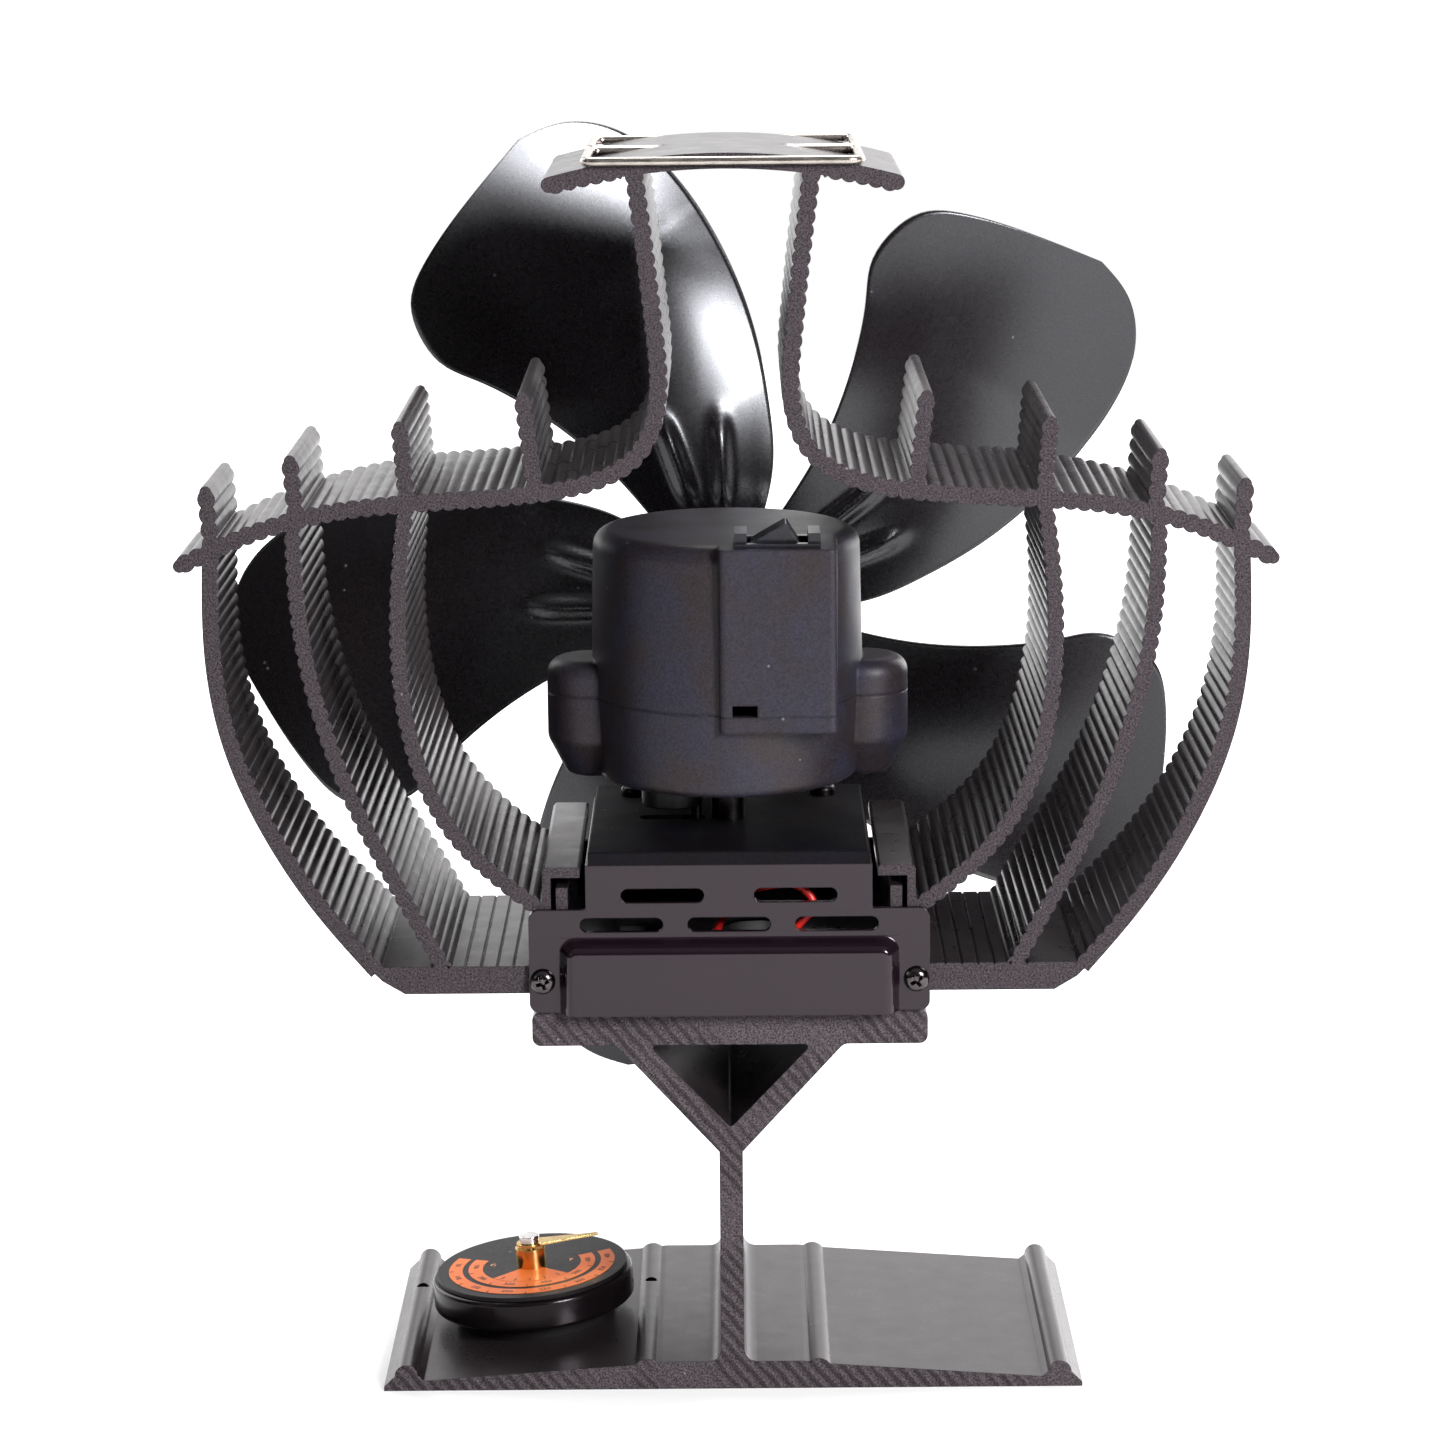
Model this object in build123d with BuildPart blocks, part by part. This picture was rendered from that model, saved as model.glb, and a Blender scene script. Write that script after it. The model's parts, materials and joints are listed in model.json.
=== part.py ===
from build123d import *
from math import atan2, copysign, cos, degrees, hypot, radians, sin, sqrt, tan
import os

os.makedirs("parts", exist_ok=True)

# Stove fan: an extruded stand and a ribbed radiator with a thermoelectric module between
# them, and a swinging head with a five-blade fan in front of the radiator.
# Millimetres. The origin is the centre of the stand's underside, +Z is up and +Y is the
# way the air goes. The near faces of both extrusions are flush, at minus Y.

# Clearances
running = 0.05
fit = 0.1
clear = 0.3
overrun = 1.0

# Stand extrusion
stand_depth = 64.0
stand_half_width = 63.5
stand_edge_height = 0.8
plate_edge_height = 1.9
plate_inner_height = 4.6
plate_stem_height = 5.2
ridge_centre = 59.4
ridge_radius = 2.1
ridge_height = 2.8
ridge_foot = 56.2
rib_outer = 18.2
rib_centre = 15.6
rib_radius = 2.6
rib_rise = 0.5
rib_inner = 13.0
stem_half_width = 2.1
stem_fillet = 2.4
stem_top = 45.0
yoke_half_width = 20.3
yoke_fillet = 2.0
channel_bottom = 49.5
channel_half_width = 14.7
channel_fillet = 0.6
flange_bottom = 65.0
flange_thickness = 6.2
flange_half_width = 35.3
flange_corner = 1.5
flange_top = flange_bottom + flange_thickness
stand_near = -stand_depth / 2
pin_hole_radius = 1.1
pin_hole_y = 11.0

# Thermoelectric sandwich
module_size = 40.0
module_thickness = 3.2
pad_thickness = 0.2
sandwich_gap = module_thickness + 2 * pad_thickness
radiator_bottom = flange_top + sandwich_gap

# Radiator extrusion
radiator_depth = 51.0
radiator_near = stand_near
radiator_far = radiator_near + radiator_depth
radiator_mid = (radiator_near + radiator_far) / 2
fin_reach = 92.0
fin_rise = 80.0
band_half = 1.0
branch_half = 1.15
rib_pitch = 2.4
round_end_turns = (54, 18, -18, -54)
rib_height = 0.4
cold_plate_thickness = 5.0
cold_plate_half_width = 57.8
cold_plate_knee = 61.8
cold_plate_knee_rise = 2.4
cold_plate_edge = 64.4
cold_plate_top = radiator_bottom + cold_plate_thickness
screw_row = radiator_bottom + cold_plate_thickness / 2
channel_wall_outer = 33.1
channel_wall_thickness = 1.5
channel_wall_top = 97.8
hook_reach = 26.4
hook_thickness = 1.9
inner_rib_outer = 30.7
inner_rib_thickness = 2.1
inner_rib_top = 94.1
full_depth_half_width = 53.5
corner_cut_slope_share = 0.62
outer_fin_shares = [
    (0.979, 0.996),
    (0.982, 0.79),
    (0.957, 0.59),
    (0.887, 0.384),
    (0.785, 0.194),
    (0.683, 0.05),
]
middle_fin_shares = [
    (0.82, 1.071),
    (0.811, 0.828),
    (0.776, 0.628),
    (0.72, 0.44),
    (0.641, 0.25),
    (0.546, 0.045),
]
inner_fin_shares = [
    (0.603, 1.105),
    (0.622, 0.919),
    (0.624, 0.728),
    (0.598, 0.54),
    (0.533, 0.373),
    (0.446, 0.265),
    (0.351, 0.181),
]
branch_shares = [
    (1.036, 0.97),
    (0.92, 1.03),
    (0.767, 1.081),
    (0.576, 1.105),
    (0.391, 1.119),
    (0.261, 1.144),
    (0.166, 1.206),
    (0.127, 1.315),
    (0.13, 1.465),
    (0.145, 1.628),
    (0.166, 1.822),
]
upright_share = 1.206
stub_root_shares = [(0.974, 1.0), (0.812, 1.07), (0.602, 1.104), (0.359, 1.122)]
stub_tip_shares = [(0.982, 1.133), (0.821, 1.199), (0.613, 1.271), (0.38, 1.33)]
stub_half = 1.05
arch_half_span = 29.8
arch_end_height = 218.0
arch_crown_height = 221.9
arch_half = 1.35
upright_sink = 0.328539
arch_rib_from_share = 0.64

# Clamping screws between the stand and the radiator
clamp_screw_x = 29.5
clamp_screw_spacing = 34.0
clamp_shank_radius = 2.0
clamp_head_radius = 3.6
clamp_head_height = 2.6
clamp_thread_depth = 4.0
clamp_washer_radius = 4.2
clamp_washer_thickness = 1.0
clamp_recess = clamp_washer_thickness + clamp_head_height + clear
insulation_half_width = 25.4
insulation_depth = 49.6

# Lead slot through the sandwich and the cold plate
lead_slot_x = 12.0
lead_slot_width = 9.0
lead_slot_depth = 5.0
lead_radius = 0.7
lead_spacing = 4.0

# Sheet-metal bracket that carries the head and covers the leads
sheet = 1.2
cover_bottom = flange_top + clear
cover_shoulder_height = 90.3
cover_half_width = 35.6
cover_top = 98.4
cover_neck_half_width = 25.4
cover_corner = 1.8
vent_length = 14.8
vent_height = 2.6
upper_vent_z = 92.8
upper_vent_x = 11.8
lower_vent_z = 87.5
lower_vent_x = 19.1
pocket_proud = 3.0
pocket_half_width = 30.2
pocket_face_half_width = 28.8
pocket_top = 85.2
pocket_face_top = 81.8
cover_screw_x = 33.2
cover_screw_radius = 1.5
cover_screw_head_radius = 2.3
cover_screw_head_height = 1.7
cover_screw_length = 7.0

# Platform and swivel
platform_thickness = 2.4
platform_half_width = 24.9
platform_top = cover_top + platform_thickness
platform_screw_x = 17.5
platform_screw_y = 12.0
platform_screw_radius = 1.5
platform_screw_head_radius = 2.6
platform_screw_head_height = 1.9
post_stud_radius = 2.5
post_radius = 3.2
post_spindle_radius = 2.6
post_nut_radius = 4.6
post_nut_height = 3.5
swing_x = 0.0
swing_y = radiator_mid

# Head housing
housing_bottom = 109.5
seam_height = 124.8
housing_top = 154.6
housing_wall = 2.0
drum_bottom_radius = 23.7
drum_seam_radius = 24.6
drum_top_radius = 24.0
drum_top_fillet = 3.2
drum_bottom_fillet = 1.8
ear_centre = 24.5
ear_radius = 8.2
ear_top = 131.0
ear_top_fillet = 3.0
ear_taper_height = 116.4
ear_bottom_radius = 4.7
ear_screw_x = 25.2
box_half_width = 10.4
box_x = 9.0
box_rear = 26.5
box_bottom = 121.9
box_corner = 1.2
notch_width = 4.4
notch_height = 2.1
notch_offset = 5.9
ear_screw_radius = 1.4
ear_screw_head_radius = 2.6
ear_screw_head_height = 1.8
ear_screw_recess = 2.8

# Swivel bearing in the head
bush_flange_radius = 6.0
bush_flange_thickness = 1.2
bush_radius = 4.4
bush_height = 4.5
thrust_washer_thickness = 0.5
thrust_washer_radius = 5.2
circlip_radius = 4.3
circlip_thickness = 0.8

# Swing drive: a crank under the head works in a slot of the platform
swing_range_each_way = 25.0
crank_offset = 10.2
crank_throw = crank_offset * sin(radians(swing_range_each_way))
crank_disc_radius = 5.6
crank_disc_bottom = 103.4
crank_disc_thickness = 3.8
crank_pin_radius = 1.1
crank_shaft_radius = 1.5
slot_half_width = 1.8
gearbox_half_width = 4.8
gearbox_height = 6.0
swing_motor_x = -12.0
swing_motor_y = -11.0
swing_motor_radius = 5.0
swing_motor_height = 16.0

# Fan drive
shaft_height = 130.2
fan_motor_radius = 12.0
fan_motor_start = 3.0
fan_motor_length = 22.0
motor_cap_thickness = 3.0
motor_cap_radius = 9.0
sleeve_wall = 1.0
sleeve_start = 14.0
sleeve_shoulder = 36.0
sleeve_end = 47.0
sleeve_nose_radius = 7.5
sleeve_front_wall = 2.4
bearing_radius = 3.2
shaft_radius = 1.0
fan_plane = 57.5
shaft_end = 62.5

# Fan rotor
blade_count = 5
blade_sheet = 0.8
blade_reach = 98.1
hub_disc_radius = 15.0
hub_boss_radius = 8.0
hub_boss_length = 6.4
hub_cap_radius = 9.5
hub_cap_height = 6.0
half_turn_share = sin(radians(45))
blade_axis_angle = 127.4
blade_camber = 7.0
blade_chord = 112.0
blade_station_shares = [0.08, 0.3, 0.65, 1.05]
blade_pitches = [-4.9, -6.0, -12.1, -11.3]
blade_leading_shares = [
    (0.155, 66.3),
    (0.278, 70.7),
    (0.4, 77.8),
    (0.496, 82.2),
    (0.6, 86.6),
    (0.69, 90.4),
    (0.776, 94.0),
    (0.866, 98.0),
    (0.945, 102.6),
    (0.993, 108.8),
    (0.995, 113.8),
]
blade_trailing_shares = [
    (0.944, 121.5),
    (0.897, 130.6),
    (0.862, 135.3),
    (0.795, 138.2),
    (0.73, 139.0),
    (0.665, 137.5),
    (0.59, 135.5),
    (0.48, 133.0),
    (0.37, 131.1),
    (0.155, 132.6),
]

# Rocker switch
switch_y = -19.2
switch_length = 15.1
switch_width = 10.5
switch_lip = 0.7
switch_cheek = 2.2
switch_cheek_height = 2.4
switch_body_length = 13.0
switch_body_width = 8.4
switch_body_depth = 12.0
rocker_length = 10.2
rocker_width = 6.6
rocker_apex = 6.4
rocker_skirt = 3.0
rocker_tilt = 14.0
rocker_pin_radius = 0.6

# Thermometer
gauge_x = -37.2
gauge_y = 0.0
magnet_radius = 15.0
magnet_height = 3.0
case_radius = 18.9
case_height = 5.6
case_bevel = 0.8
dial_radius = 17.9
dial_thickness = 0.8
tube_radius = 2.85
tube_height = 3.7
tube_wall = 0.45
coil_radius = 2.1
coil_strip = 0.8
coil_height = 2.4
spindle_radius = 0.75
pointer_ring_radius = 2.5
pointer_length = 13.0
pointer_tip_half = 0.35
pointer_root_share = 0.8
pointer_sheet = 0.4
pointer_lift = 0.5
pointer_cap_radius = 1.9
pointer_cap_height = 1.4
pointer_angle = 11.0

# Carrying bails of steel wire
wire_radius = 0.8
bail_half_width = 23.6
bail_spacing = 2.8
bail_seat_height = arch_crown_height + running
bail_eye_reach = 16.6
bail_bend = 2.0

rear_bail_y = radiator_mid - bail_spacing / 2
front_bail_y = radiator_mid + bail_spacing / 2
rear_bar_y = radiator_near - clear - wire_radius
front_bar_y = radiator_far + clear + wire_radius

# Terminal block of the module's leads
terminal_x = -14.0
terminal_y = -24.0
terminal_length = 12.0
terminal_width = 7.0
terminal_height = 6.0

# Planes and places used by more than one piece
deck_bottom = cover_top - sheet
screw_engagement = 3.5
sleeve_radius = fan_motor_radius + running + sleeve_wall
rocker_pivot_depth = 2.1
swing_axis = Axis((swing_x, swing_y, 0), (0, 0, 1))
swing_section = Plane((swing_x, swing_y, 0), x_dir=(1, 0, 0), z_dir=(0, -1, 0))
shaft_axis = Axis((0, swing_y, shaft_height), (0, 1, 0))
shaft_section = Plane((0, swing_y, shaft_height), x_dir=(0, 1, 0), z_dir=(1, 0, 0))
rotor_plane = Plane((0, swing_y + fan_plane, shaft_height), x_dir=(1, 0, 0), z_dir=(0, -1, 0))
rocker_pivot = (box_x, swing_y + switch_y, housing_top - rocker_pivot_depth)
rocker_side = Plane(rocker_pivot, x_dir=(1, 0, 0), z_dir=(0, -1, 0))
plate_slope = atan2(plate_inner_height - plate_edge_height, ridge_foot - rib_outer)
gauge_seat = plate_edge_height + (ridge_foot + gauge_x) * sin(plate_slope) / cos(plate_slope)
gauge_plane = Plane(
    (gauge_x, gauge_y, gauge_seat),
    x_dir=(cos(plate_slope), 0, sin(plate_slope)),
    z_dir=(-sin(plate_slope), 0, cos(plate_slope)),
)
near_plane = Plane.XZ.offset(-radiator_near)
far_plane = Plane.XZ.offset(-radiator_far)
swing_axis_plane = Plane((swing_x, swing_y, 0))


def shared(point):
    """A point of the radiator's section, from its shares of reach and rise."""
    return (point[0] * fin_reach, radiator_bottom + point[1] * fin_rise)


def arch_height(x):
    """Height of the arch's middle line this far from its crown."""
    rise = arch_crown_height - arch_end_height
    bow = (arch_half_span**2 + rise**2) / (2 * rise)
    return arch_crown_height - bow + copysign(sqrt(bow**2 - x**2), bow)


def branch_point(point):
    """A point of the branch, whose upright part is stretched to end in the arch."""
    x, z = shared(point)
    foot = radiator_bottom + upright_share * fin_rise
    end_x, end = shared(branch_shares[-1])
    stretch = (arch_height(end_x) - upright_sink - foot) / (end - foot)
    return (x, foot + (z - foot) * stretch if z > foot else z)


def polar_spot(point):
    """A point of the blade's outline, from its share of the reach and its angle."""
    return (point[0] * blade_reach * cos(radians(point[1])), point[0] * blade_reach * sin(radians(point[1])))


def band_outline(path, half, ribs, rib_from=0.0, round_start=False, round_end=False):
    """Closed outline of a fin along a path, ribbed on the sides named in ribs."""
    steps = 2 * max(2, round(path.length / rib_pitch))
    sides = []
    for side in (1, -1):
        points = []
        for step in range(steps + 1):
            share = step / steps
            ribbed = side in ribs and share >= rib_from
            if not ribbed and step % 2:
                continue
            width = half + (rib_height if step % 2 else 0)
            spot = path @ share
            way = path % share
            points.append((spot.X - side * width * way.Y, spot.Y + side * width * way.X))
        sides.append(points)
    outline = list(sides[0])
    for is_round, share, sign in ((round_end, 1, 1), (round_start, 0, -1)):
        if is_round:
            spot = path @ share
            way = path % share
            for turn in round_end_turns:
                reach = half * cos(radians(turn)) * sign
                across = half * sin(radians(turn)) * sign
                outline.append(
                    (spot.X + reach * way.X - across * way.Y, spot.Y + reach * way.Y + across * way.X)
                )
        if share == 1:
            outline += sides[1][::-1]
    return outline


def add_band(points, half, ribs, **options):
    """Adds one fin to the sketch that is open."""
    with BuildLine(mode=Mode.PRIVATE) as centre:
        if len(points) > 2:
            Spline(*points)
        else:
            Line(*points)
    with BuildLine() as outline:
        Polyline(*band_outline(centre.edges()[0], half, ribs, **options), close=True)
    make_face(outline.edges())


# Stand
with BuildPart() as stand:
    with BuildSketch(Plane.XZ.offset(-stand_near)) as stand_section:
        with BuildLine():
            Polyline(
                (0, 0),
                (stand_half_width, 0),
                (stand_half_width, stand_edge_height),
                (ridge_centre + ridge_radius, ridge_height),
                (ridge_centre - ridge_radius, ridge_height),
                (ridge_foot, plate_edge_height),
                (rib_outer, plate_inner_height),
                (rib_inner, plate_stem_height),
                (stem_half_width, plate_stem_height),
                (stem_half_width, stem_top),
                (yoke_half_width, flange_bottom),
                (flange_half_width, flange_bottom),
                (flange_half_width, flange_top),
                (0, flange_top),
                close=True,
            )
        make_face()
        foot = stand_section.vertices().filter_by_position(Axis.X, 0, stem_half_width + fit)
        foot = foot.filter_by_position(Axis.Y, plate_stem_height - fit, plate_stem_height + fit)
        fillet(foot.sort_by(Axis.X)[-1], stem_fillet)
        fillet(stand_section.vertices().sort_by_distance((yoke_half_width, flange_bottom))[0], yoke_fillet)
        for corner_height in (flange_bottom, flange_top):
            corner = stand_section.vertices().sort_by_distance((flange_half_width, corner_height))[0]
            fillet(corner, flange_corner)
        with Locations((ridge_centre, ridge_height)):
            Circle(ridge_radius)
        with Locations((rib_centre, plate_stem_height + rib_rise - rib_radius)):
            Circle(rib_radius)
        mirror(about=Plane.YZ)
        with BuildSketch(mode=Mode.SUBTRACT) as channel:
            Polygon(
                (0, channel_bottom),
                (channel_half_width, flange_bottom),
                (-channel_half_width, flange_bottom),
                align=None,
            )
            fillet(channel.vertices(), channel_fillet)
    extrude(amount=-stand_depth)
    for hole_x in (-ridge_centre, -rib_centre):
        with Locations((hole_x, pin_hole_y, plate_stem_height + ridge_radius)):
            Hole(pin_hole_radius)
    with Locations(Location((0, radiator_mid, flange_bottom), (180, 0, 0))):
        with GridLocations(2 * clamp_screw_x, clamp_screw_spacing, 2, 2):
            CounterBoreHole(
                clamp_shank_radius + fit, clamp_washer_radius + fit, clamp_recess, flange_thickness + overrun
            )
stand.part.label = "stand_heat_collector"
export_step(stand.part, "parts/stand_heat_collector.step")

# Thermoelectric sandwich
with BuildPart() as hot_pad:
    with BuildSketch(Plane.XY.offset(flange_top)):
        with Locations((0, radiator_mid)):
            Rectangle(module_size, module_size)
    extrude(amount=pad_thickness)
hot_pad.part.label = "hot_side_pad"
export_step(hot_pad.part, "parts/hot_side_pad.step")

with BuildPart() as module:
    with BuildSketch(Plane.XY.offset(flange_top + pad_thickness)):
        with Locations((0, radiator_mid)):
            Rectangle(module_size, module_size)
    extrude(amount=module_thickness)
module.part.label = "thermoelectric_module"
export_step(module.part, "parts/thermoelectric_module.step")

with BuildPart() as cold_pad:
    with BuildSketch(Plane.XY.offset(radiator_bottom - pad_thickness)):
        with Locations((0, radiator_mid)):
            Rectangle(module_size, module_size)
    extrude(amount=pad_thickness)
cold_pad.part.label = "cold_side_pad"
export_step(cold_pad.part, "parts/cold_side_pad.step")

with BuildPart() as insulation:
    with BuildSketch(Plane.XY.offset(flange_top)):
        with Locations((0, radiator_mid)):
            Rectangle(2 * insulation_half_width, insulation_depth)
            Rectangle(module_size + 2 * clear, module_size + 2 * clear, mode=Mode.SUBTRACT)
        with Locations((lead_slot_x, radiator_near)):
            Rectangle(lead_slot_width, radiator_depth - module_size + 2 * clear, mode=Mode.SUBTRACT)
    extrude(amount=sandwich_gap)
insulation.part.label = "insulation_frame"
export_step(insulation.part, "parts/insulation_frame.step")

# Radiator
with BuildPart() as radiator:
    with BuildSketch(near_plane) as radiator_section:
        with BuildLine():
            Polyline(
                (0, radiator_bottom),
                (cold_plate_half_width, radiator_bottom),
                (cold_plate_knee, radiator_bottom + cold_plate_knee_rise),
                (cold_plate_edge, cold_plate_top),
                (0, cold_plate_top),
                close=True,
            )
        make_face()
        add_band([shared(point) for point in outer_fin_shares], band_half + rib_height / 2, (-1,))
        add_band([shared(point) for point in middle_fin_shares], band_half, (1, -1))
        add_band([shared(point) for point in inner_fin_shares], band_half, (1, -1))
        add_band([branch_point(point) for point in branch_shares], branch_half, (1, -1), round_start=True)
        for root, tip in zip(stub_root_shares, stub_tip_shares):
            add_band([shared(root), shared(tip)], stub_half, (1, -1), round_end=True)
        with BuildLine(mode=Mode.PRIVATE) as arch:
            ThreePointArc(
                (-arch_half_span, arch_end_height), (0, arch_crown_height), (arch_half_span, arch_end_height)
            )
        with BuildLine():
            arch_edge = arch.edges()[0].trim(0.5, 1)
            arch_outline = band_outline(arch_edge, arch_half, (-1,), rib_from=arch_rib_from_share, round_end=True)
            Polyline(*arch_outline, close=True)
        make_face()
        with Locations((channel_wall_outer - channel_wall_thickness / 2, cold_plate_top)):
            Rectangle(
                channel_wall_thickness, channel_wall_top - cold_plate_top, align=(Align.CENTER, Align.MIN)
            )
        with Locations((hook_reach, channel_wall_top)):
            Rectangle(channel_wall_outer - hook_reach, hook_thickness, align=(Align.MIN, Align.MAX))
        with Locations((inner_rib_outer, cold_plate_top)):
            Rectangle(inner_rib_thickness, inner_rib_top - cold_plate_top, align=(Align.MAX, Align.MIN))
        mirror(about=Plane.YZ)
    extrude(amount=-radiator_depth)
    corner_run = radiator_depth / corner_cut_slope_share
    with BuildSketch(Plane.XY) as corner_cut:
        for side in (1, -1):
            with BuildLine():
                Polyline(
                    (side * full_depth_half_width, radiator_far),
                    (side * (full_depth_half_width + corner_run), radiator_near),
                    (side * (full_depth_half_width + corner_run), radiator_far + overrun),
                    (side * full_depth_half_width, radiator_far + overrun),
                    close=True,
                )
            make_face()
    extrude(amount=arch_crown_height + overrun, mode=Mode.SUBTRACT)
    with BuildSketch(Plane.XY.offset(radiator_bottom)):
        with Locations((lead_slot_x, radiator_near)):
            Rectangle(lead_slot_width, 2 * lead_slot_depth)
    extrude(amount=cold_plate_thickness, mode=Mode.SUBTRACT)
    for face_y, turn in ((radiator_near, 90), (radiator_far, -90)):
        for side in (1, -1):
            with Locations(Location((side * cover_screw_x, face_y, screw_row), (turn, 0, 0))):
                Hole(cover_screw_radius + running, depth=cover_screw_length)
    with Locations(Location((0, radiator_mid, radiator_bottom), (180, 0, 0))):
        with GridLocations(2 * clamp_screw_x, clamp_screw_spacing, 2, 2):
            Hole(clamp_shank_radius + running, depth=clamp_thread_depth + fit)
    for bail_y in (rear_bail_y, front_bail_y):
        for side in (1, -1):
            bore_start = (side * (bail_half_width - bail_eye_reach), bail_y, bail_seat_height)
            with BuildSketch(Plane(bore_start, z_dir=(side, 0, 0))):
                Circle(wire_radius + running)
            extrude(amount=bail_eye_reach + wire_radius + overrun, mode=Mode.SUBTRACT)
radiator.part.label = "radiator"
export_step(radiator.part, "parts/radiator.step")

# Clamping screws and their insulating washers
screw_seat = flange_bottom + clamp_recess - clamp_washer_thickness
with BuildPart() as clamp_washers:
    with BuildSketch(Plane.XY.offset(screw_seat)):
        with Locations((0, radiator_mid)):
            with GridLocations(2 * clamp_screw_x, clamp_screw_spacing, 2, 2):
                Circle(clamp_washer_radius)
                Circle(clamp_shank_radius + fit, mode=Mode.SUBTRACT)
    extrude(amount=clamp_washer_thickness)
clamp_washers.part.label = "clamp_washers"
export_step(clamp_washers.part, "parts/clamp_washers.step")

with BuildPart() as clamp_screws:
    with BuildSketch(Plane.XY.offset(screw_seat)):
        with Locations((0, radiator_mid)):
            with GridLocations(2 * clamp_screw_x, clamp_screw_spacing, 2, 2):
                Circle(clamp_shank_radius)
    extrude(amount=radiator_bottom + clamp_thread_depth - screw_seat)
    with BuildSketch(Plane.XY.offset(screw_seat)):
        with Locations((0, radiator_mid)):
            with GridLocations(2 * clamp_screw_x, clamp_screw_spacing, 2, 2):
                Circle(clamp_head_radius)
    extrude(amount=-clamp_head_height)
    with BuildSketch(Plane.XY.offset(screw_seat - clamp_head_height)):
        with Locations((0, radiator_mid)):
            with GridLocations(2 * clamp_screw_x, clamp_screw_spacing, 2, 2):
                RegularPolygon(clamp_head_radius / 2, 6)
    extrude(amount=clamp_head_height / 2, mode=Mode.SUBTRACT)
clamp_screws.part.label = "clamp_screws"
export_step(clamp_screws.part, "parts/clamp_screws.step")

# Sheet-metal cover, a bridge over the leads with a vented wall at each end
with BuildPart() as cover:
    for plane, way in ((near_plane, 1), (far_plane, -1)):
        with BuildSketch(plane) as cover_wall:
            with Locations((0, cover_bottom)):
                Rectangle(
                    2 * cover_half_width,
                    cover_shoulder_height - cover_bottom,
                    align=(Align.CENTER, Align.MIN),
                )
            fillet(cover_wall.vertices(), cover_corner)
            with Locations((0, cover_bottom + cover_corner)):
                Rectangle(
                    2 * cover_neck_half_width,
                    cover_top - cover_bottom - cover_corner,
                    align=(Align.CENTER, Align.MIN),
                )
            with Locations((-upper_vent_x, upper_vent_z), (upper_vent_x, upper_vent_z)):
                SlotOverall(vent_length, vent_height, mode=Mode.SUBTRACT)
            with Locations((-lower_vent_x, lower_vent_z), (0, lower_vent_z), (lower_vent_x, lower_vent_z)):
                SlotOverall(vent_length, vent_height, mode=Mode.SUBTRACT)
            with Locations((-cover_screw_x, screw_row), (cover_screw_x, screw_row)):
                Circle(cover_screw_radius + fit, mode=Mode.SUBTRACT)
        extrude(amount=way * sheet)
    with BuildSketch(Plane.XY.offset(deck_bottom)):
        with Locations((0, radiator_mid)):
            Rectangle(2 * cover_neck_half_width, radiator_depth + 2 * sheet)
        with Locations((swing_x, swing_y)):
            Circle(post_stud_radius + fit, mode=Mode.SUBTRACT)
        with Locations((-platform_screw_x, platform_screw_y), (platform_screw_x, platform_screw_y)):
            Circle(platform_screw_radius + running, mode=Mode.SUBTRACT)
    extrude(amount=sheet)
    for end in (0, -1):
        bends = cover.edges().filter_by(Axis.X).group_by(Axis.Z)[-1]
        fillet(bends.sort_by(Axis.Y)[end], sheet)
    with BuildSketch(near_plane.offset(sheet)) as pocket_foot:
        with Locations((0, cover_bottom)):
            Rectangle(2 * pocket_half_width, pocket_top - cover_bottom, align=(Align.CENTER, Align.MIN))
        fillet(pocket_foot.vertices().sort_by(Axis.Y)[-2:], pocket_proud)
    with BuildSketch(near_plane.offset(sheet + pocket_proud)) as pocket_face:
        with Locations((0, cover_bottom)):
            Rectangle(
                2 * pocket_face_half_width, pocket_face_top - cover_bottom, align=(Align.CENTER, Align.MIN)
            )
        fillet(pocket_face.vertices().sort_by(Axis.Y)[-2:], pocket_proud - sheet)
    loft()
    with BuildSketch(near_plane) as pocket_mouth:
        with Locations((0, cover_bottom - overrun)):
            Rectangle(
                2 * (pocket_half_width - sheet),
                pocket_top - sheet - cover_bottom + overrun,
                align=(Align.CENTER, Align.MIN),
            )
        fillet(pocket_mouth.vertices().sort_by(Axis.Y)[-2:], pocket_proud - sheet)
    with BuildSketch(near_plane.offset(pocket_proud)) as pocket_floor:
        with Locations((0, cover_bottom - overrun)):
            Rectangle(
                2 * (pocket_face_half_width - sheet),
                pocket_face_top - sheet - cover_bottom + overrun,
                align=(Align.CENTER, Align.MIN),
            )
        fillet(pocket_floor.vertices().sort_by(Axis.Y)[-2:], sheet)
    loft(mode=Mode.SUBTRACT)
cover.part.label = "electronics_cover"
export_step(cover.part, "parts/electronics_cover.step")

with BuildPart() as cover_screws:
    for plane, way in ((near_plane.offset(sheet), 1), (far_plane.offset(-sheet), -1)):
        with BuildSketch(plane):
            with Locations((-cover_screw_x, screw_row), (cover_screw_x, screw_row)):
                Circle(cover_screw_radius)
        extrude(amount=-way * cover_screw_length)
        with BuildSketch(plane):
            with Locations((-cover_screw_x, screw_row), (cover_screw_x, screw_row)):
                Circle(cover_screw_head_radius)
        extrude(amount=way * cover_screw_head_height)
        with BuildSketch(plane.offset(way * cover_screw_head_height)):
            with Locations((-cover_screw_x, screw_row), (cover_screw_x, screw_row)):
                Rectangle(cover_screw_head_radius, cover_screw_head_radius / 4)
                Rectangle(cover_screw_head_radius / 4, cover_screw_head_radius)
        extrude(amount=-way * cover_screw_head_height / 2, mode=Mode.SUBTRACT)
cover_screws.part.label = "cover_screws"
export_step(cover_screws.part, "parts/cover_screws.step")

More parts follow.
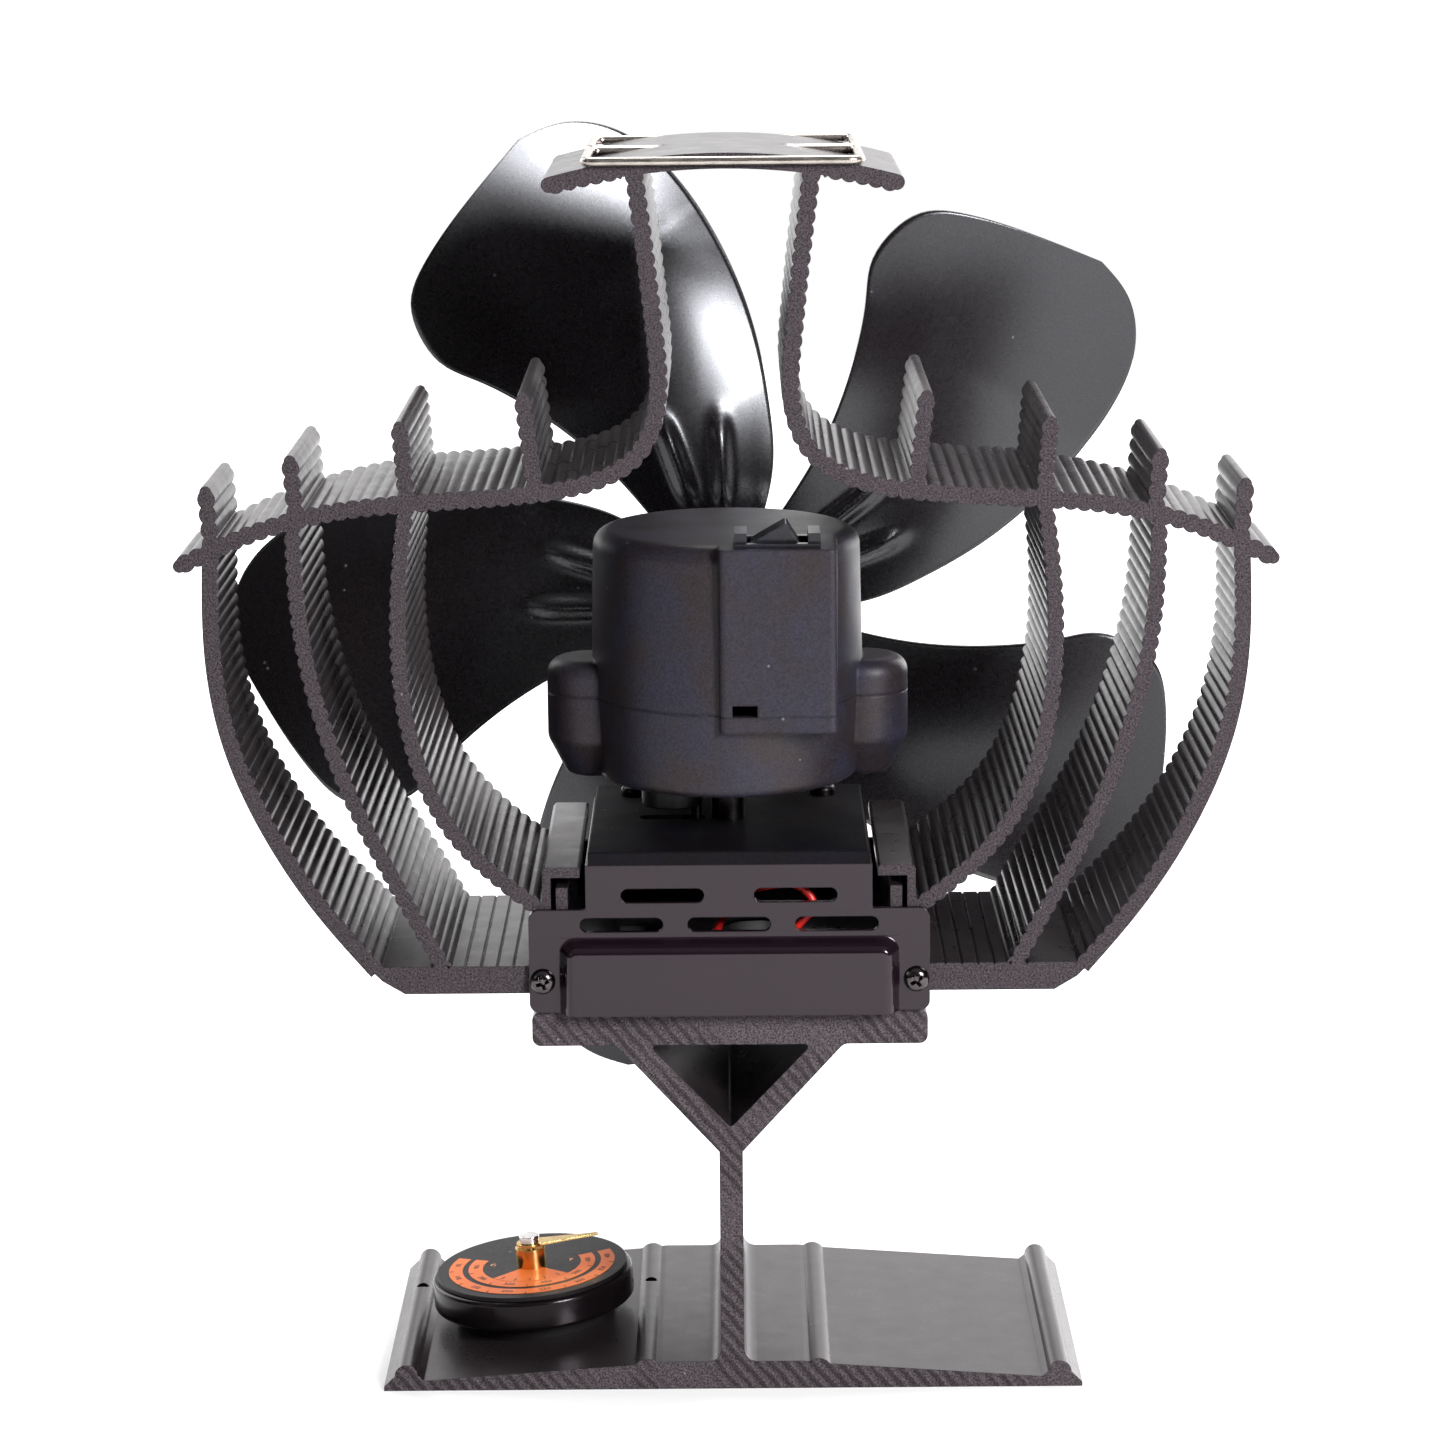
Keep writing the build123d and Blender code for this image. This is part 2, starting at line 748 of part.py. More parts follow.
# Platform with the crank's slot
with BuildPart() as platform:
    with BuildSketch(Plane.XY.offset(cover_top)):
        with Locations((0, radiator_mid)):
            Rectangle(2 * platform_half_width, radiator_depth + 2 * sheet)
        with Locations((swing_x, swing_y)):
            Circle(post_stud_radius + fit, mode=Mode.SUBTRACT)
        with Locations((swing_x - crank_offset, swing_y)):
            SlotCenterToCenter(2 * crank_throw, 2 * slot_half_width, mode=Mode.SUBTRACT)
        with Locations((-platform_screw_x, platform_screw_y), (platform_screw_x, platform_screw_y)):
            Circle(platform_screw_radius + running, mode=Mode.SUBTRACT)
    extrude(amount=platform_thickness)
    chamfer(platform.faces().sort_by(Axis.Z)[-1].outer_wire().edges(), clear)
platform.part.label = "swivel_platform"
export_step(platform.part, "parts/swivel_platform.step")

with BuildPart() as platform_screws:
    with BuildSketch(Plane.XY.offset(platform_top)):
        with Locations((-platform_screw_x, platform_screw_y), (platform_screw_x, platform_screw_y)):
            Circle(platform_screw_radius)
    extrude(amount=-platform_thickness - sheet - overrun)
    with BuildSketch(Plane.XY.offset(platform_top)):
        with Locations((-platform_screw_x, platform_screw_y), (platform_screw_x, platform_screw_y)):
            Circle(platform_screw_head_radius)
    extrude(amount=platform_screw_head_height)
    head_rims = platform_screws.edges().filter_by(GeomType.CIRCLE).group_by(Axis.Z)[-1]
    fillet(head_rims, platform_screw_head_height / 2)
    with BuildSketch(Plane.XY.offset(platform_top + platform_screw_head_height)):
        with Locations((-platform_screw_x, platform_screw_y), (platform_screw_x, platform_screw_y)):
            Rectangle(platform_screw_head_radius, platform_screw_head_radius / 4)
            Rectangle(platform_screw_head_radius / 4, platform_screw_head_radius)
    extrude(amount=-platform_screw_head_height / 2, mode=Mode.SUBTRACT)
platform_screws.part.label = "platform_screws"
export_step(platform_screws.part, "parts/platform_screws.step")

# Swivel post, fixed to the platform, with its nut, thrust washer and circlip
thrust_seat = housing_bottom - bush_flange_thickness - fit - thrust_washer_thickness
circlip_seat = housing_bottom + bush_height + fit
with BuildPart() as post:
    with BuildSketch(swing_axis_plane.offset(deck_bottom - post_nut_height)):
        Circle(post_stud_radius)
    extrude(amount=platform_top - deck_bottom + post_nut_height)
    with BuildSketch(swing_axis_plane.offset(platform_top)):
        Circle(post_radius)
    extrude(amount=thrust_seat - platform_top)
    with BuildSketch(swing_axis_plane.offset(thrust_seat)):
        Circle(post_spindle_radius)
    extrude(amount=circlip_seat + 2 * circlip_thickness - thrust_seat)
    chamfer(post.edges().filter_by(GeomType.CIRCLE).group_by(Axis.Z)[-1], clear)
post.part.label = "swivel_post"
export_step(post.part, "parts/swivel_post.step")

with BuildPart() as post_nut:
    with BuildSketch(swing_axis_plane.offset(deck_bottom - post_nut_height)):
        RegularPolygon(post_nut_radius, 6)
        Circle(post_stud_radius + running, mode=Mode.SUBTRACT)
    extrude(amount=post_nut_height)
post_nut.part.label = "post_nut"
export_step(post_nut.part, "parts/post_nut.step")

with BuildPart() as thrust_washer:
    with BuildSketch(swing_axis_plane.offset(thrust_seat)):
        Circle(thrust_washer_radius)
        Circle(post_spindle_radius + running, mode=Mode.SUBTRACT)
    extrude(amount=thrust_washer_thickness)
thrust_washer.part.label = "thrust_washer"
export_step(thrust_washer.part, "parts/thrust_washer.step")

with BuildPart() as circlip:
    with BuildSketch(swing_axis_plane.offset(circlip_seat)):
        Circle(circlip_radius)
        Circle(post_spindle_radius + running, mode=Mode.SUBTRACT)
        with Locations((0, circlip_radius)):
            Rectangle(post_spindle_radius, circlip_radius, mode=Mode.SUBTRACT)
    extrude(amount=circlip_thickness)
circlip.part.label = "post_circlip"
export_step(circlip.part, "parts/post_circlip.step")

with BuildPart() as bush:
    with BuildSketch(swing_axis_plane.offset(housing_bottom - bush_flange_thickness)):
        Circle(bush_flange_radius)
    extrude(amount=bush_flange_thickness)
    with BuildSketch(swing_axis_plane.offset(housing_bottom)):
        Circle(bush_radius)
    extrude(amount=bush_height)
    with Locations(swing_axis_plane.offset(housing_bottom + bush_height)):
        Hole(post_spindle_radius + running)
bush.part.label = "swivel_bush"
export_step(bush.part, "parts/swivel_bush.step")

# Swing crank, its pin, the gearbox and the motor that drives it
crank_plane = Plane((swing_x - crank_offset, swing_y, 0))
gearbox_bottom = housing_bottom + housing_wall
with BuildPart() as crank:
    with BuildSketch(crank_plane.offset(crank_disc_bottom)):
        Circle(crank_disc_radius)
    extrude(amount=crank_disc_thickness)
    chamfer(crank.edges().filter_by(GeomType.CIRCLE), clear)
    with BuildSketch(crank_plane.offset(crank_disc_bottom + crank_disc_thickness)):
        Circle(crank_shaft_radius)
    extrude(amount=gearbox_bottom + gearbox_height / 2 - crank_disc_bottom - crank_disc_thickness)
    with BuildSketch(crank_plane.offset(crank_disc_bottom)):
        with Locations((crank_throw, 0)):
            Circle(crank_pin_radius + running)
    extrude(amount=crank_disc_thickness, mode=Mode.SUBTRACT)
crank.part.label = "swing_crank"
export_step(crank.part, "parts/swing_crank.step")

with BuildPart() as crank_pin:
    with BuildSketch(crank_plane.offset(cover_top + clear)):
        with Locations((crank_throw, 0)):
            Circle(crank_pin_radius)
    extrude(amount=crank_disc_bottom + crank_disc_thickness - cover_top - clear)
    chamfer(crank_pin.edges().group_by(Axis.Z)[0], clear)
crank_pin.part.label = "crank_pin"
export_step(crank_pin.part, "parts/crank_pin.step")

with BuildPart() as gearbox:
    with BuildSketch(Plane.XY.offset(gearbox_bottom)):
        motor_run = hypot(swing_motor_x + crank_offset, swing_motor_y)
        motor_turn = degrees(atan2(swing_motor_y, swing_motor_x + crank_offset))
        with Locations((swing_x + (swing_motor_x - crank_offset) / 2, swing_y + swing_motor_y / 2)):
            SlotCenterToCenter(motor_run, 2 * gearbox_half_width, rotation=motor_turn)
    extrude(amount=gearbox_height)
    with BuildSketch(crank_plane.offset(gearbox_bottom)):
        Circle(crank_shaft_radius + running)
    extrude(amount=gearbox_height / 2 + fit, mode=Mode.SUBTRACT)
gearbox.part.label = "swing_gearbox"
export_step(gearbox.part, "parts/swing_gearbox.step")

with BuildPart() as swing_motor:
    with BuildSketch(Plane.XY.offset(gearbox_bottom + gearbox_height)):
        with Locations((swing_x + swing_motor_x, swing_y + swing_motor_y)):
            Circle(swing_motor_radius)
    extrude(amount=swing_motor_height)
    fillet(swing_motor.edges().group_by(Axis.Z)[-1], clear)
    with BuildSketch(Plane.XY.offset(gearbox_bottom + gearbox_height + swing_motor_height)):
        with Locations((swing_x + swing_motor_x, swing_y + swing_motor_y)):
            Circle(swing_motor_radius / 3)
    extrude(amount=sheet)
swing_motor.part.label = "swing_motor"
export_step(swing_motor.part, "parts/swing_motor.step")

# Head housing, two moulded halves parted at the seam
with BuildPart() as lower_housing:
    with BuildSketch(swing_section) as lower_drum:
        Polygon(
            (0, housing_bottom),
            (drum_bottom_radius, housing_bottom),
            (drum_seam_radius, seam_height),
            (0, seam_height),
            align=None,
        )
        corner = lower_drum.vertices().sort_by_distance((drum_bottom_radius, housing_bottom))[0]
        fillet(corner, drum_bottom_fillet)
    revolve(axis=swing_axis)
    for side in (1, -1):
        ear_section = Plane((side * ear_centre, swing_y, 0), x_dir=(side, 0, 0), z_dir=(0, -side, 0))
        with BuildSketch(ear_section) as lower_ear:
            Polygon(
                (0, housing_bottom),
                (ear_bottom_radius, housing_bottom),
                (ear_radius, ear_taper_height),
                (ear_radius, seam_height),
                (0, seam_height),
                align=None,
            )
            corner = lower_ear.vertices().sort_by_distance((ear_radius, ear_taper_height))[0]
            fillet(corner, drum_top_fillet)
            corner = lower_ear.vertices().sort_by_distance((ear_bottom_radius, housing_bottom))[0]
            fillet(corner, drum_bottom_fillet)
        revolve(axis=Axis((side * ear_centre, swing_y, 0), (0, 0, 1)))
    with BuildSketch(Plane.XY.offset(box_bottom)) as lower_box:
        with Locations((box_x, swing_y - box_rear)):
            Rectangle(2 * box_half_width, box_rear - switch_body_width, align=(Align.CENTER, Align.MIN))
        fillet(lower_box.vertices().sort_by(Axis.Y)[:2], box_corner)
    extrude(amount=seam_height - box_bottom)
    with BuildSketch(swing_section):
        Polygon(
            (0, housing_bottom + housing_wall),
            (drum_bottom_radius - housing_wall, housing_bottom + housing_wall),
            (drum_seam_radius - housing_wall, seam_height + fit),
            (0, seam_height + fit),
            align=None,
        )
    revolve(axis=swing_axis, mode=Mode.SUBTRACT)
    with BuildSketch(Plane.XY.offset(seam_height)):
        with Locations((box_x, swing_y - box_rear + housing_wall)):
            Rectangle(
                2 * (box_half_width - housing_wall),
                box_rear - 2 * housing_wall,
                align=(Align.CENTER, Align.MIN),
            )
    extrude(amount=-box_corner, mode=Mode.SUBTRACT)
    with Locations(swing_axis_plane.offset(housing_bottom + housing_wall)):
        Hole(bush_radius + running)
    with BuildSketch(crank_plane.offset(housing_bottom)):
        Circle(crank_shaft_radius + running)
    extrude(amount=housing_wall, mode=Mode.SUBTRACT)
    with BuildSketch(Plane((0, swing_y + sleeve_start, shaft_height), z_dir=(0, 1, 0))):
        Circle(sleeve_radius + running)
    extrude(amount=sleeve_shoulder - sleeve_start, mode=Mode.SUBTRACT)
    for side in (1, -1):
        with Locations(Location((side * ear_screw_x, swing_y, housing_bottom), (180, 0, 0))):
            CounterBoreHole(ear_screw_radius + fit, ear_screw_head_radius + fit, ear_screw_recess)
lower_housing.part.label = "lower_housing"
export_step(lower_housing.part, "parts/lower_housing.step")

with BuildPart() as upper_housing:
    with BuildSketch(swing_section) as upper_drum:
        Polygon(
            (0, seam_height),
            (drum_seam_radius, seam_height),
            (drum_top_radius, housing_top),
            (0, housing_top),
            align=None,
        )
        fillet(upper_drum.vertices().sort_by_distance((drum_top_radius, housing_top))[0], drum_top_fillet)
    revolve(axis=swing_axis)
    for side in (1, -1):
        ear_section = Plane((side * ear_centre, swing_y, 0), x_dir=(side, 0, 0), z_dir=(0, -side, 0))
        with BuildSketch(ear_section) as upper_ear:
            Polygon(
                (0, seam_height), (ear_radius, seam_height), (ear_radius, ear_top), (0, ear_top), align=None
            )
            fillet(upper_ear.vertices().sort_by_distance((ear_radius, ear_top))[0], ear_top_fillet)
        revolve(axis=Axis((side * ear_centre, swing_y, 0), (0, 0, 1)))
    with BuildSketch(Plane.XY.offset(seam_height)) as upper_box:
        with Locations((box_x, swing_y - box_rear)):
            Rectangle(2 * box_half_width, box_rear - switch_body_width, align=(Align.CENTER, Align.MIN))
        fillet(upper_box.vertices().sort_by(Axis.Y)[:2], box_corner)
    extrude(amount=housing_top - seam_height)
    with BuildSketch(swing_section):
        Polygon(
            (0, seam_height - fit),
            (drum_seam_radius - housing_wall, seam_height - fit),
            (drum_top_radius - housing_wall, housing_top - drum_top_fillet),
            (drum_top_radius - drum_top_fillet, housing_top - housing_wall),
            (0, housing_top - housing_wall),
            align=None,
        )
    revolve(axis=swing_axis, mode=Mode.SUBTRACT)
    with BuildSketch(Plane.XY.offset(seam_height)):
        with Locations((box_x, swing_y - box_rear + housing_wall)):
            Rectangle(
                2 * (box_half_width - housing_wall),
                box_rear - 2 * housing_wall,
                align=(Align.CENTER, Align.MIN),
            )
    extrude(amount=housing_top - housing_wall - seam_height, mode=Mode.SUBTRACT)
    with BuildSketch(Plane.XY.offset(housing_top)):
        with Locations((box_x, swing_y + switch_y)):
            Rectangle(switch_body_length + 2 * fit, switch_body_width + 2 * fit)
    extrude(amount=-housing_wall, mode=Mode.SUBTRACT)
    with BuildSketch(Plane.XZ.offset(box_rear - swing_y)):
        with Locations((box_x - notch_offset, seam_height)):
            Rectangle(notch_width, notch_height, align=(Align.CENTER, Align.MIN))
    extrude(amount=-housing_wall, mode=Mode.SUBTRACT)
    with BuildSketch(Plane((0, swing_y + sleeve_start, shaft_height), z_dir=(0, 1, 0))):
        Circle(sleeve_radius + running)
    extrude(amount=sleeve_shoulder - sleeve_start, mode=Mode.SUBTRACT)
    for side in (1, -1):
        with Locations(Location((side * ear_screw_x, swing_y, seam_height), (180, 0, 0))):
            Hole(ear_screw_radius + running, depth=screw_engagement + fit)
upper_housing.part.label = "upper_housing"
export_step(upper_housing.part, "parts/upper_housing.step")

with BuildPart() as housing_screws:
    ear_head_seat = housing_bottom + ear_screw_recess
    for side in (1, -1):
        with BuildSketch(Plane((side * ear_screw_x, swing_y, ear_head_seat))):
            Circle(ear_screw_radius)
        extrude(amount=seam_height + screw_engagement - ear_head_seat)
        with BuildSketch(Plane((side * ear_screw_x, swing_y, ear_head_seat))):
            Circle(ear_screw_head_radius)
        extrude(amount=-ear_screw_head_height)
        with BuildSketch(Plane((side * ear_screw_x, swing_y, ear_head_seat - ear_screw_head_height))):
            Rectangle(ear_screw_head_radius, ear_screw_head_radius / 4)
            Rectangle(ear_screw_head_radius / 4, ear_screw_head_radius)
        extrude(amount=ear_screw_head_height / 2, mode=Mode.SUBTRACT)
housing_screws.part.label = "housing_screws"
export_step(housing_screws.part, "parts/housing_screws.step")

# Fan motor in its sleeve, with the front bearing and the shaft
with BuildPart() as sleeve:
    with BuildSketch(shaft_section):
        Polygon(
            (sleeve_start, sleeve_radius),
            (sleeve_shoulder, sleeve_radius),
            (sleeve_end, sleeve_nose_radius),
            (sleeve_end, bearing_radius + running),
            (sleeve_end - sleeve_front_wall, bearing_radius + running),
            (sleeve_end - sleeve_front_wall, sleeve_nose_radius - sleeve_wall),
            (sleeve_shoulder, sleeve_radius - sleeve_wall),
            (sleeve_start, sleeve_radius - sleeve_wall),
            align=None,
        )
    revolve(axis=shaft_axis)
sleeve.part.label = "motor_sleeve"
export_step(sleeve.part, "parts/motor_sleeve.step")

fan_motor_end = fan_motor_start + fan_motor_length
with BuildPart() as fan_motor:
    with BuildSketch(shaft_section) as motor_profile:
        Polygon(
            (fan_motor_start, 0),
            (fan_motor_start, fan_motor_radius),
            (fan_motor_end, fan_motor_radius),
            (fan_motor_end, bearing_radius),
            (fan_motor_end + overrun, bearing_radius),
            (fan_motor_end + overrun, shaft_radius + running),
            (fan_motor_end - fan_motor_radius, shaft_radius + running),
            (fan_motor_end - fan_motor_radius, 0),
            align=None,
        )
        fillet(motor_profile.vertices().sort_by_distance((fan_motor_end, fan_motor_radius))[0], sheet)
    revolve(axis=shaft_axis)
fan_motor.part.label = "fan_motor"
export_step(fan_motor.part, "parts/fan_motor.step")

with BuildPart() as motor_cap:
    with BuildSketch(shaft_section) as cap_profile:
        Polygon(
            (fan_motor_start, 0),
            (fan_motor_start, motor_cap_radius),
            (fan_motor_start - motor_cap_thickness, motor_cap_radius),
            (fan_motor_start - motor_cap_thickness, 0),
            align=None,
        )
    revolve(axis=shaft_axis)
    motor_rear = (0, swing_y + fan_motor_start - motor_cap_thickness, shaft_height)
    with BuildSketch(Plane(motor_rear, z_dir=(0, -1, 0))):
        with Locations((-motor_cap_radius / 2, 0), (motor_cap_radius / 2, 0)):
            Rectangle(sheet, 2 * sheet)
    extrude(amount=2 * sheet)
motor_cap.part.label = "motor_end_cap"
export_step(motor_cap.part, "parts/motor_end_cap.step")

with BuildPart() as bearing:
    with BuildSketch(shaft_section):
        Polygon(
            (sleeve_end - sleeve_front_wall, shaft_radius + running),
            (sleeve_end - sleeve_front_wall, bearing_radius),
            (sleeve_end + fit, bearing_radius),
            (sleeve_end + fit, shaft_radius + running),
            align=None,
        )
    revolve(axis=shaft_axis)
bearing.part.label = "front_bearing"
export_step(bearing.part, "parts/front_bearing.step")

with BuildPart() as shaft:
    shaft_start = fan_motor_end - fan_motor_radius + clear
    with BuildSketch(Plane((0, swing_y + shaft_start, shaft_height), z_dir=(0, 1, 0))):
        Circle(shaft_radius)
    extrude(amount=shaft_end - shaft_start)
shaft.part.label = "fan_shaft"
export_step(shaft.part, "parts/fan_shaft.step")

# Rotor
hub_rear = fan_plane - blade_sheet / 2
hub_front = fan_plane + blade_sheet / 2
with BuildPart() as hub_boss:
    with BuildSketch(shaft_section) as boss_profile:
        Polygon(
            (hub_rear, shaft_radius + running),
            (hub_rear, hub_boss_radius),
            (hub_rear - hub_boss_length, hub_boss_radius * 3 / 4),
            (hub_rear - hub_boss_length, shaft_radius + running),
            align=None,
        )
        fillet(boss_profile.vertices().sort_by(Axis.X)[0:2].sort_by(Axis.Y)[-1], overrun)
    revolve(axis=shaft_axis)
hub_boss.part.label = "fan_hub"
export_step(hub_boss.part, "parts/fan_hub.step")

with BuildPart() as hub_cap:
    with BuildSketch(shaft_section):
        with BuildLine():
            Polyline(
                (hub_front, hub_cap_radius),
                (hub_front, shaft_radius + running),
                (shaft_end + fit, shaft_radius + running),
                (shaft_end + fit, 0),
                (hub_front + hub_cap_height, 0),
            )
            ThreePointArc(
                (hub_front + hub_cap_height, 0),
                (hub_front + hub_cap_height * half_turn_share, hub_cap_radius * half_turn_share),
                (hub_front, hub_cap_radius),
            )
        make_face()
    revolve(axis=shaft_axis)
hub_cap.part.label = "hub_cap"
export_step(hub_cap.part, "parts/hub_cap.step")

# One blade about the rotor's own axes: local Y is up and local Z points at the radiator
with BuildPart() as blade:
    out_way = Vector(cos(radians(blade_axis_angle)), sin(radians(blade_axis_angle)), 0)
    side_way = Vector(sin(radians(blade_axis_angle)), -cos(radians(blade_axis_angle)), 0)
    for share, pitch in zip(blade_station_shares, blade_pitches):
        chord_way = side_way * cos(radians(pitch)) + Vector(0, 0, 1) * sin(radians(pitch))
        with BuildSketch(Plane(out_way * share * blade_reach, x_dir=chord_way, z_dir=out_way)):
            with BuildLine():
                for shift in (-blade_sheet / 2, blade_sheet / 2):
                    ThreePointArc(
                        (-blade_chord / 2, blade_camber + shift),
                        (0, shift),
                        (blade_chord / 2, blade_camber + shift),
                    )
                for end in (-1, 1):
                    Line(
                        (end * blade_chord / 2, blade_camber - blade_sheet / 2),
                        (end * blade_chord / 2, blade_camber + blade_sheet / 2),
                    )
            make_face()
    loft()
    with BuildSketch(Plane.XY.offset(-blade_chord / 2)):
        with BuildLine():
            leading = [polar_spot(point) for point in blade_leading_shares]
            trailing = [polar_spot(point) for point in blade_trailing_shares]
            Spline(*leading)
            Spline(leading[-1], *trailing)
            Polyline(trailing[-1], (0, 0), leading[0])
        make_face()
    extrude(amount=blade_chord, mode=Mode.INTERSECT)
    with BuildSketch(Plane.XY.offset(-blade_camber)):
        Circle(hub_cap_radius + clear)
    extrude(amount=2 * blade_camber, mode=Mode.SUBTRACT)

with BuildPart() as spider:
    with BuildSketch(rotor_plane.offset(-blade_sheet / 2)):
        Circle(hub_disc_radius)
    extrude(amount=blade_sheet)
    with Locations(rotor_plane):
        with PolarLocations(0, blade_count):
            add(blade.part)
    with BuildSketch(rotor_plane.offset(-blade_camber)):
        Circle(shaft_radius + running)
    extrude(amount=2 * blade_camber, mode=Mode.SUBTRACT)
spider.part.label = "blade_spider"
export_step(spider.part, "parts/blade_spider.step")

# Rocker switch
switch_plane = Plane((box_x, swing_y + switch_y, housing_top))
with BuildPart() as switch_body:
    with BuildSketch(switch_plane):
        Rectangle(switch_length, switch_width)
    extrude(amount=switch_lip)
    with BuildSketch(switch_plane):
        Rectangle(switch_body_length, switch_body_width)
    extrude(amount=-switch_body_depth)
    with BuildSketch(switch_plane.offset(switch_lip)):
        for side in (1, -1):
            with Locations((side * (switch_length - switch_cheek) / 2, 0)):
                Rectangle(switch_cheek, switch_width - switch_cheek)
    extrude(amount=switch_cheek_height - switch_lip)
    with BuildSketch(switch_plane.offset(switch_lip)):
        Rectangle(rocker_length + 4 * clear, rocker_width + 2 * clear)
    rocker_sweep = hypot(rocker_length / 2, rocker_skirt) + clear
    extrude(amount=-switch_lip - rocker_pivot_depth - rocker_sweep, mode=Mode.SUBTRACT)
    with BuildSketch(rocker_side.offset(-switch_body_width)):
        Circle(rocker_pin_radius + running)
    extrude(amount=2 * switch_body_width, mode=Mode.SUBTRACT)
switch_body.part.label = "switch_body"
export_step(switch_body.part, "parts/switch_body.step")

with BuildPart() as rocker:
    with BuildSketch(rocker_side.offset(-rocker_width / 2)) as rocker_profile:
        Polygon(
            (-rocker_length / 2, rocker_skirt / 2),
            (0, rocker_apex),
            (rocker_length / 2, rocker_skirt / 2),
            (rocker_length / 2 - clear, -rocker_skirt),
            (clear - rocker_length / 2, -rocker_skirt),
            align=None,
            rotation=-rocker_tilt,
        )
        fillet(rocker_profile.vertices().sort_by(Axis.Y)[-1], rocker_pin_radius / 2)
    extrude(amount=rocker_width)
    with BuildSketch(rocker_side.offset(fit - switch_body_width / 2)):
        Circle(rocker_pin_radius)
    extrude(amount=switch_body_width - 2 * fit)
rocker.part.label = "switch_rocker"
export_step(rocker.part, "parts/switch_rocker.step")

# Thermometer, held on the sloping plate by its magnet
with BuildPart() as magnet:
    with BuildSketch(gauge_plane):
        Circle(magnet_radius)
    extrude(amount=magnet_height)
magnet.part.label = "gauge_magnet"
export_step(magnet.part, "parts/gauge_magnet.step")

with BuildPart() as gauge_case:
    with BuildSketch(gauge_plane.offset(magnet_height)):
        Circle(case_radius)
    extrude(amount=case_height)
    fillet(gauge_case.edges().filter_by(GeomType.CIRCLE), case_bevel)
gauge_case.part.label = "gauge_case"
export_step(gauge_case.part, "parts/gauge_case.step")

dial_seat = magnet_height + case_height
with BuildPart() as dial:
    with BuildSketch(gauge_plane.offset(dial_seat)):
        Circle(dial_radius)
    extrude(amount=dial_thickness)
dial.part.label = "gauge_dial"
export_step(dial.part, "parts/gauge_dial.step")

tube_seat = dial_seat + dial_thickness
with BuildPart() as tube:
    with BuildSketch(gauge_plane.offset(tube_seat)):
        Circle(tube_radius)
    extrude(amount=tube_height)
    with BuildSketch(gauge_plane.offset(tube_seat)):
        Circle(tube_radius - tube_wall)
    extrude(amount=tube_height - tube_wall, mode=Mode.SUBTRACT)
    with BuildSketch(gauge_plane.offset(tube_seat + tube_height)):
        Circle(spindle_radius + running)
    extrude(amount=-2 * tube_wall, mode=Mode.SUBTRACT)
tube.part.label = "gauge_tube"
export_step(tube.part, "parts/gauge_tube.step")

with BuildPart() as coil:
    with BuildSketch(gauge_plane.offset(tube_seat)):
        Circle(coil_radius)
        Circle(coil_radius - coil_strip, mode=Mode.SUBTRACT)
    extrude(amount=coil_height)
coil.part.label = "bimetal_coil"
export_step(coil.part, "parts/bimetal_coil.step")

pointer_seat = tube_seat + tube_height + pointer_lift
with BuildPart() as pointer:
    with BuildSketch(gauge_plane.offset(pointer_seat)):
        Circle(pointer_ring_radius)
        Polygon(
            (0, -pointer_ring_radius * pointer_root_share),
            (pointer_length, -pointer_tip_half),
            (pointer_length, pointer_tip_half),
            (0, pointer_ring_radius * pointer_root_share),
            align=None,
            rotation=pointer_angle,
        )
    extrude(amount=pointer_sheet)
    with BuildSketch(gauge_plane.offset(pointer_seat)):
        Circle(spindle_radius + running)
    extrude(amount=pointer_sheet, mode=Mode.SUBTRACT)
pointer.part.label = "gauge_pointer"
export_step(pointer.part, "parts/gauge_pointer.step")

with BuildPart() as pointer_cap:
    with BuildSketch(gauge_plane.offset(pointer_seat + pointer_sheet)):
        Circle(pointer_cap_radius)
    extrude(amount=pointer_cap_height)
    fillet(pointer_cap.edges().filter_by(GeomType.CIRCLE), pointer_sheet / 2)
    with BuildSketch(gauge_plane.offset(tube_seat + fit)):
        Circle(spindle_radius)
    extrude(amount=pointer_seat + pointer_sheet - tube_seat - fit)
pointer_cap.part.label = "pointer_spindle"
export_step(pointer_cap.part, "parts/pointer_spindle.step")

# Carrying bails, two wire loops hinged in cross bores of the arch
bail_names = ("rear_bail", "front_bail")
for name, hinge_y, bar_y in zip(bail_names, (rear_bail_y, front_bail_y), (rear_bar_y, front_bar_y)):
    with BuildPart() as bail:
        with BuildLine(Plane.XY.offset(bail_seat_height)) as bail_path:
            FilletPolyline(
                (bail_half_width - bail_eye_reach + fit, hinge_y),
                (bail_half_width, hinge_y),
                (bail_half_width, bar_y),
                (-bail_half_width, bar_y),
                (-bail_half_width, hinge_y),
                (bail_eye_reach - bail_half_width - fit, hinge_y),
                radius=bail_bend,
            )
        with BuildSketch(Plane(bail_path.line @ 0, z_dir=bail_path.line % 0)):
            Circle(wire_radius)
        sweep()
    bail.part.label = name
    export_step(bail.part, "parts/" + name + ".step")

# Module leads, from the module through the slot to the terminal block
with BuildPart() as terminal:
    with BuildSketch(Plane.XY.offset(cold_plate_top)):
        with Locations((terminal_x, terminal_y)):
            Rectangle(terminal_length, terminal_width)
    extrude(amount=terminal_height)
    fillet(terminal.edges().filter_by(Axis.Z), lead_radius)
terminal.part.label = "lead_terminal"
export_step(terminal.part, "parts/lead_terminal.step")

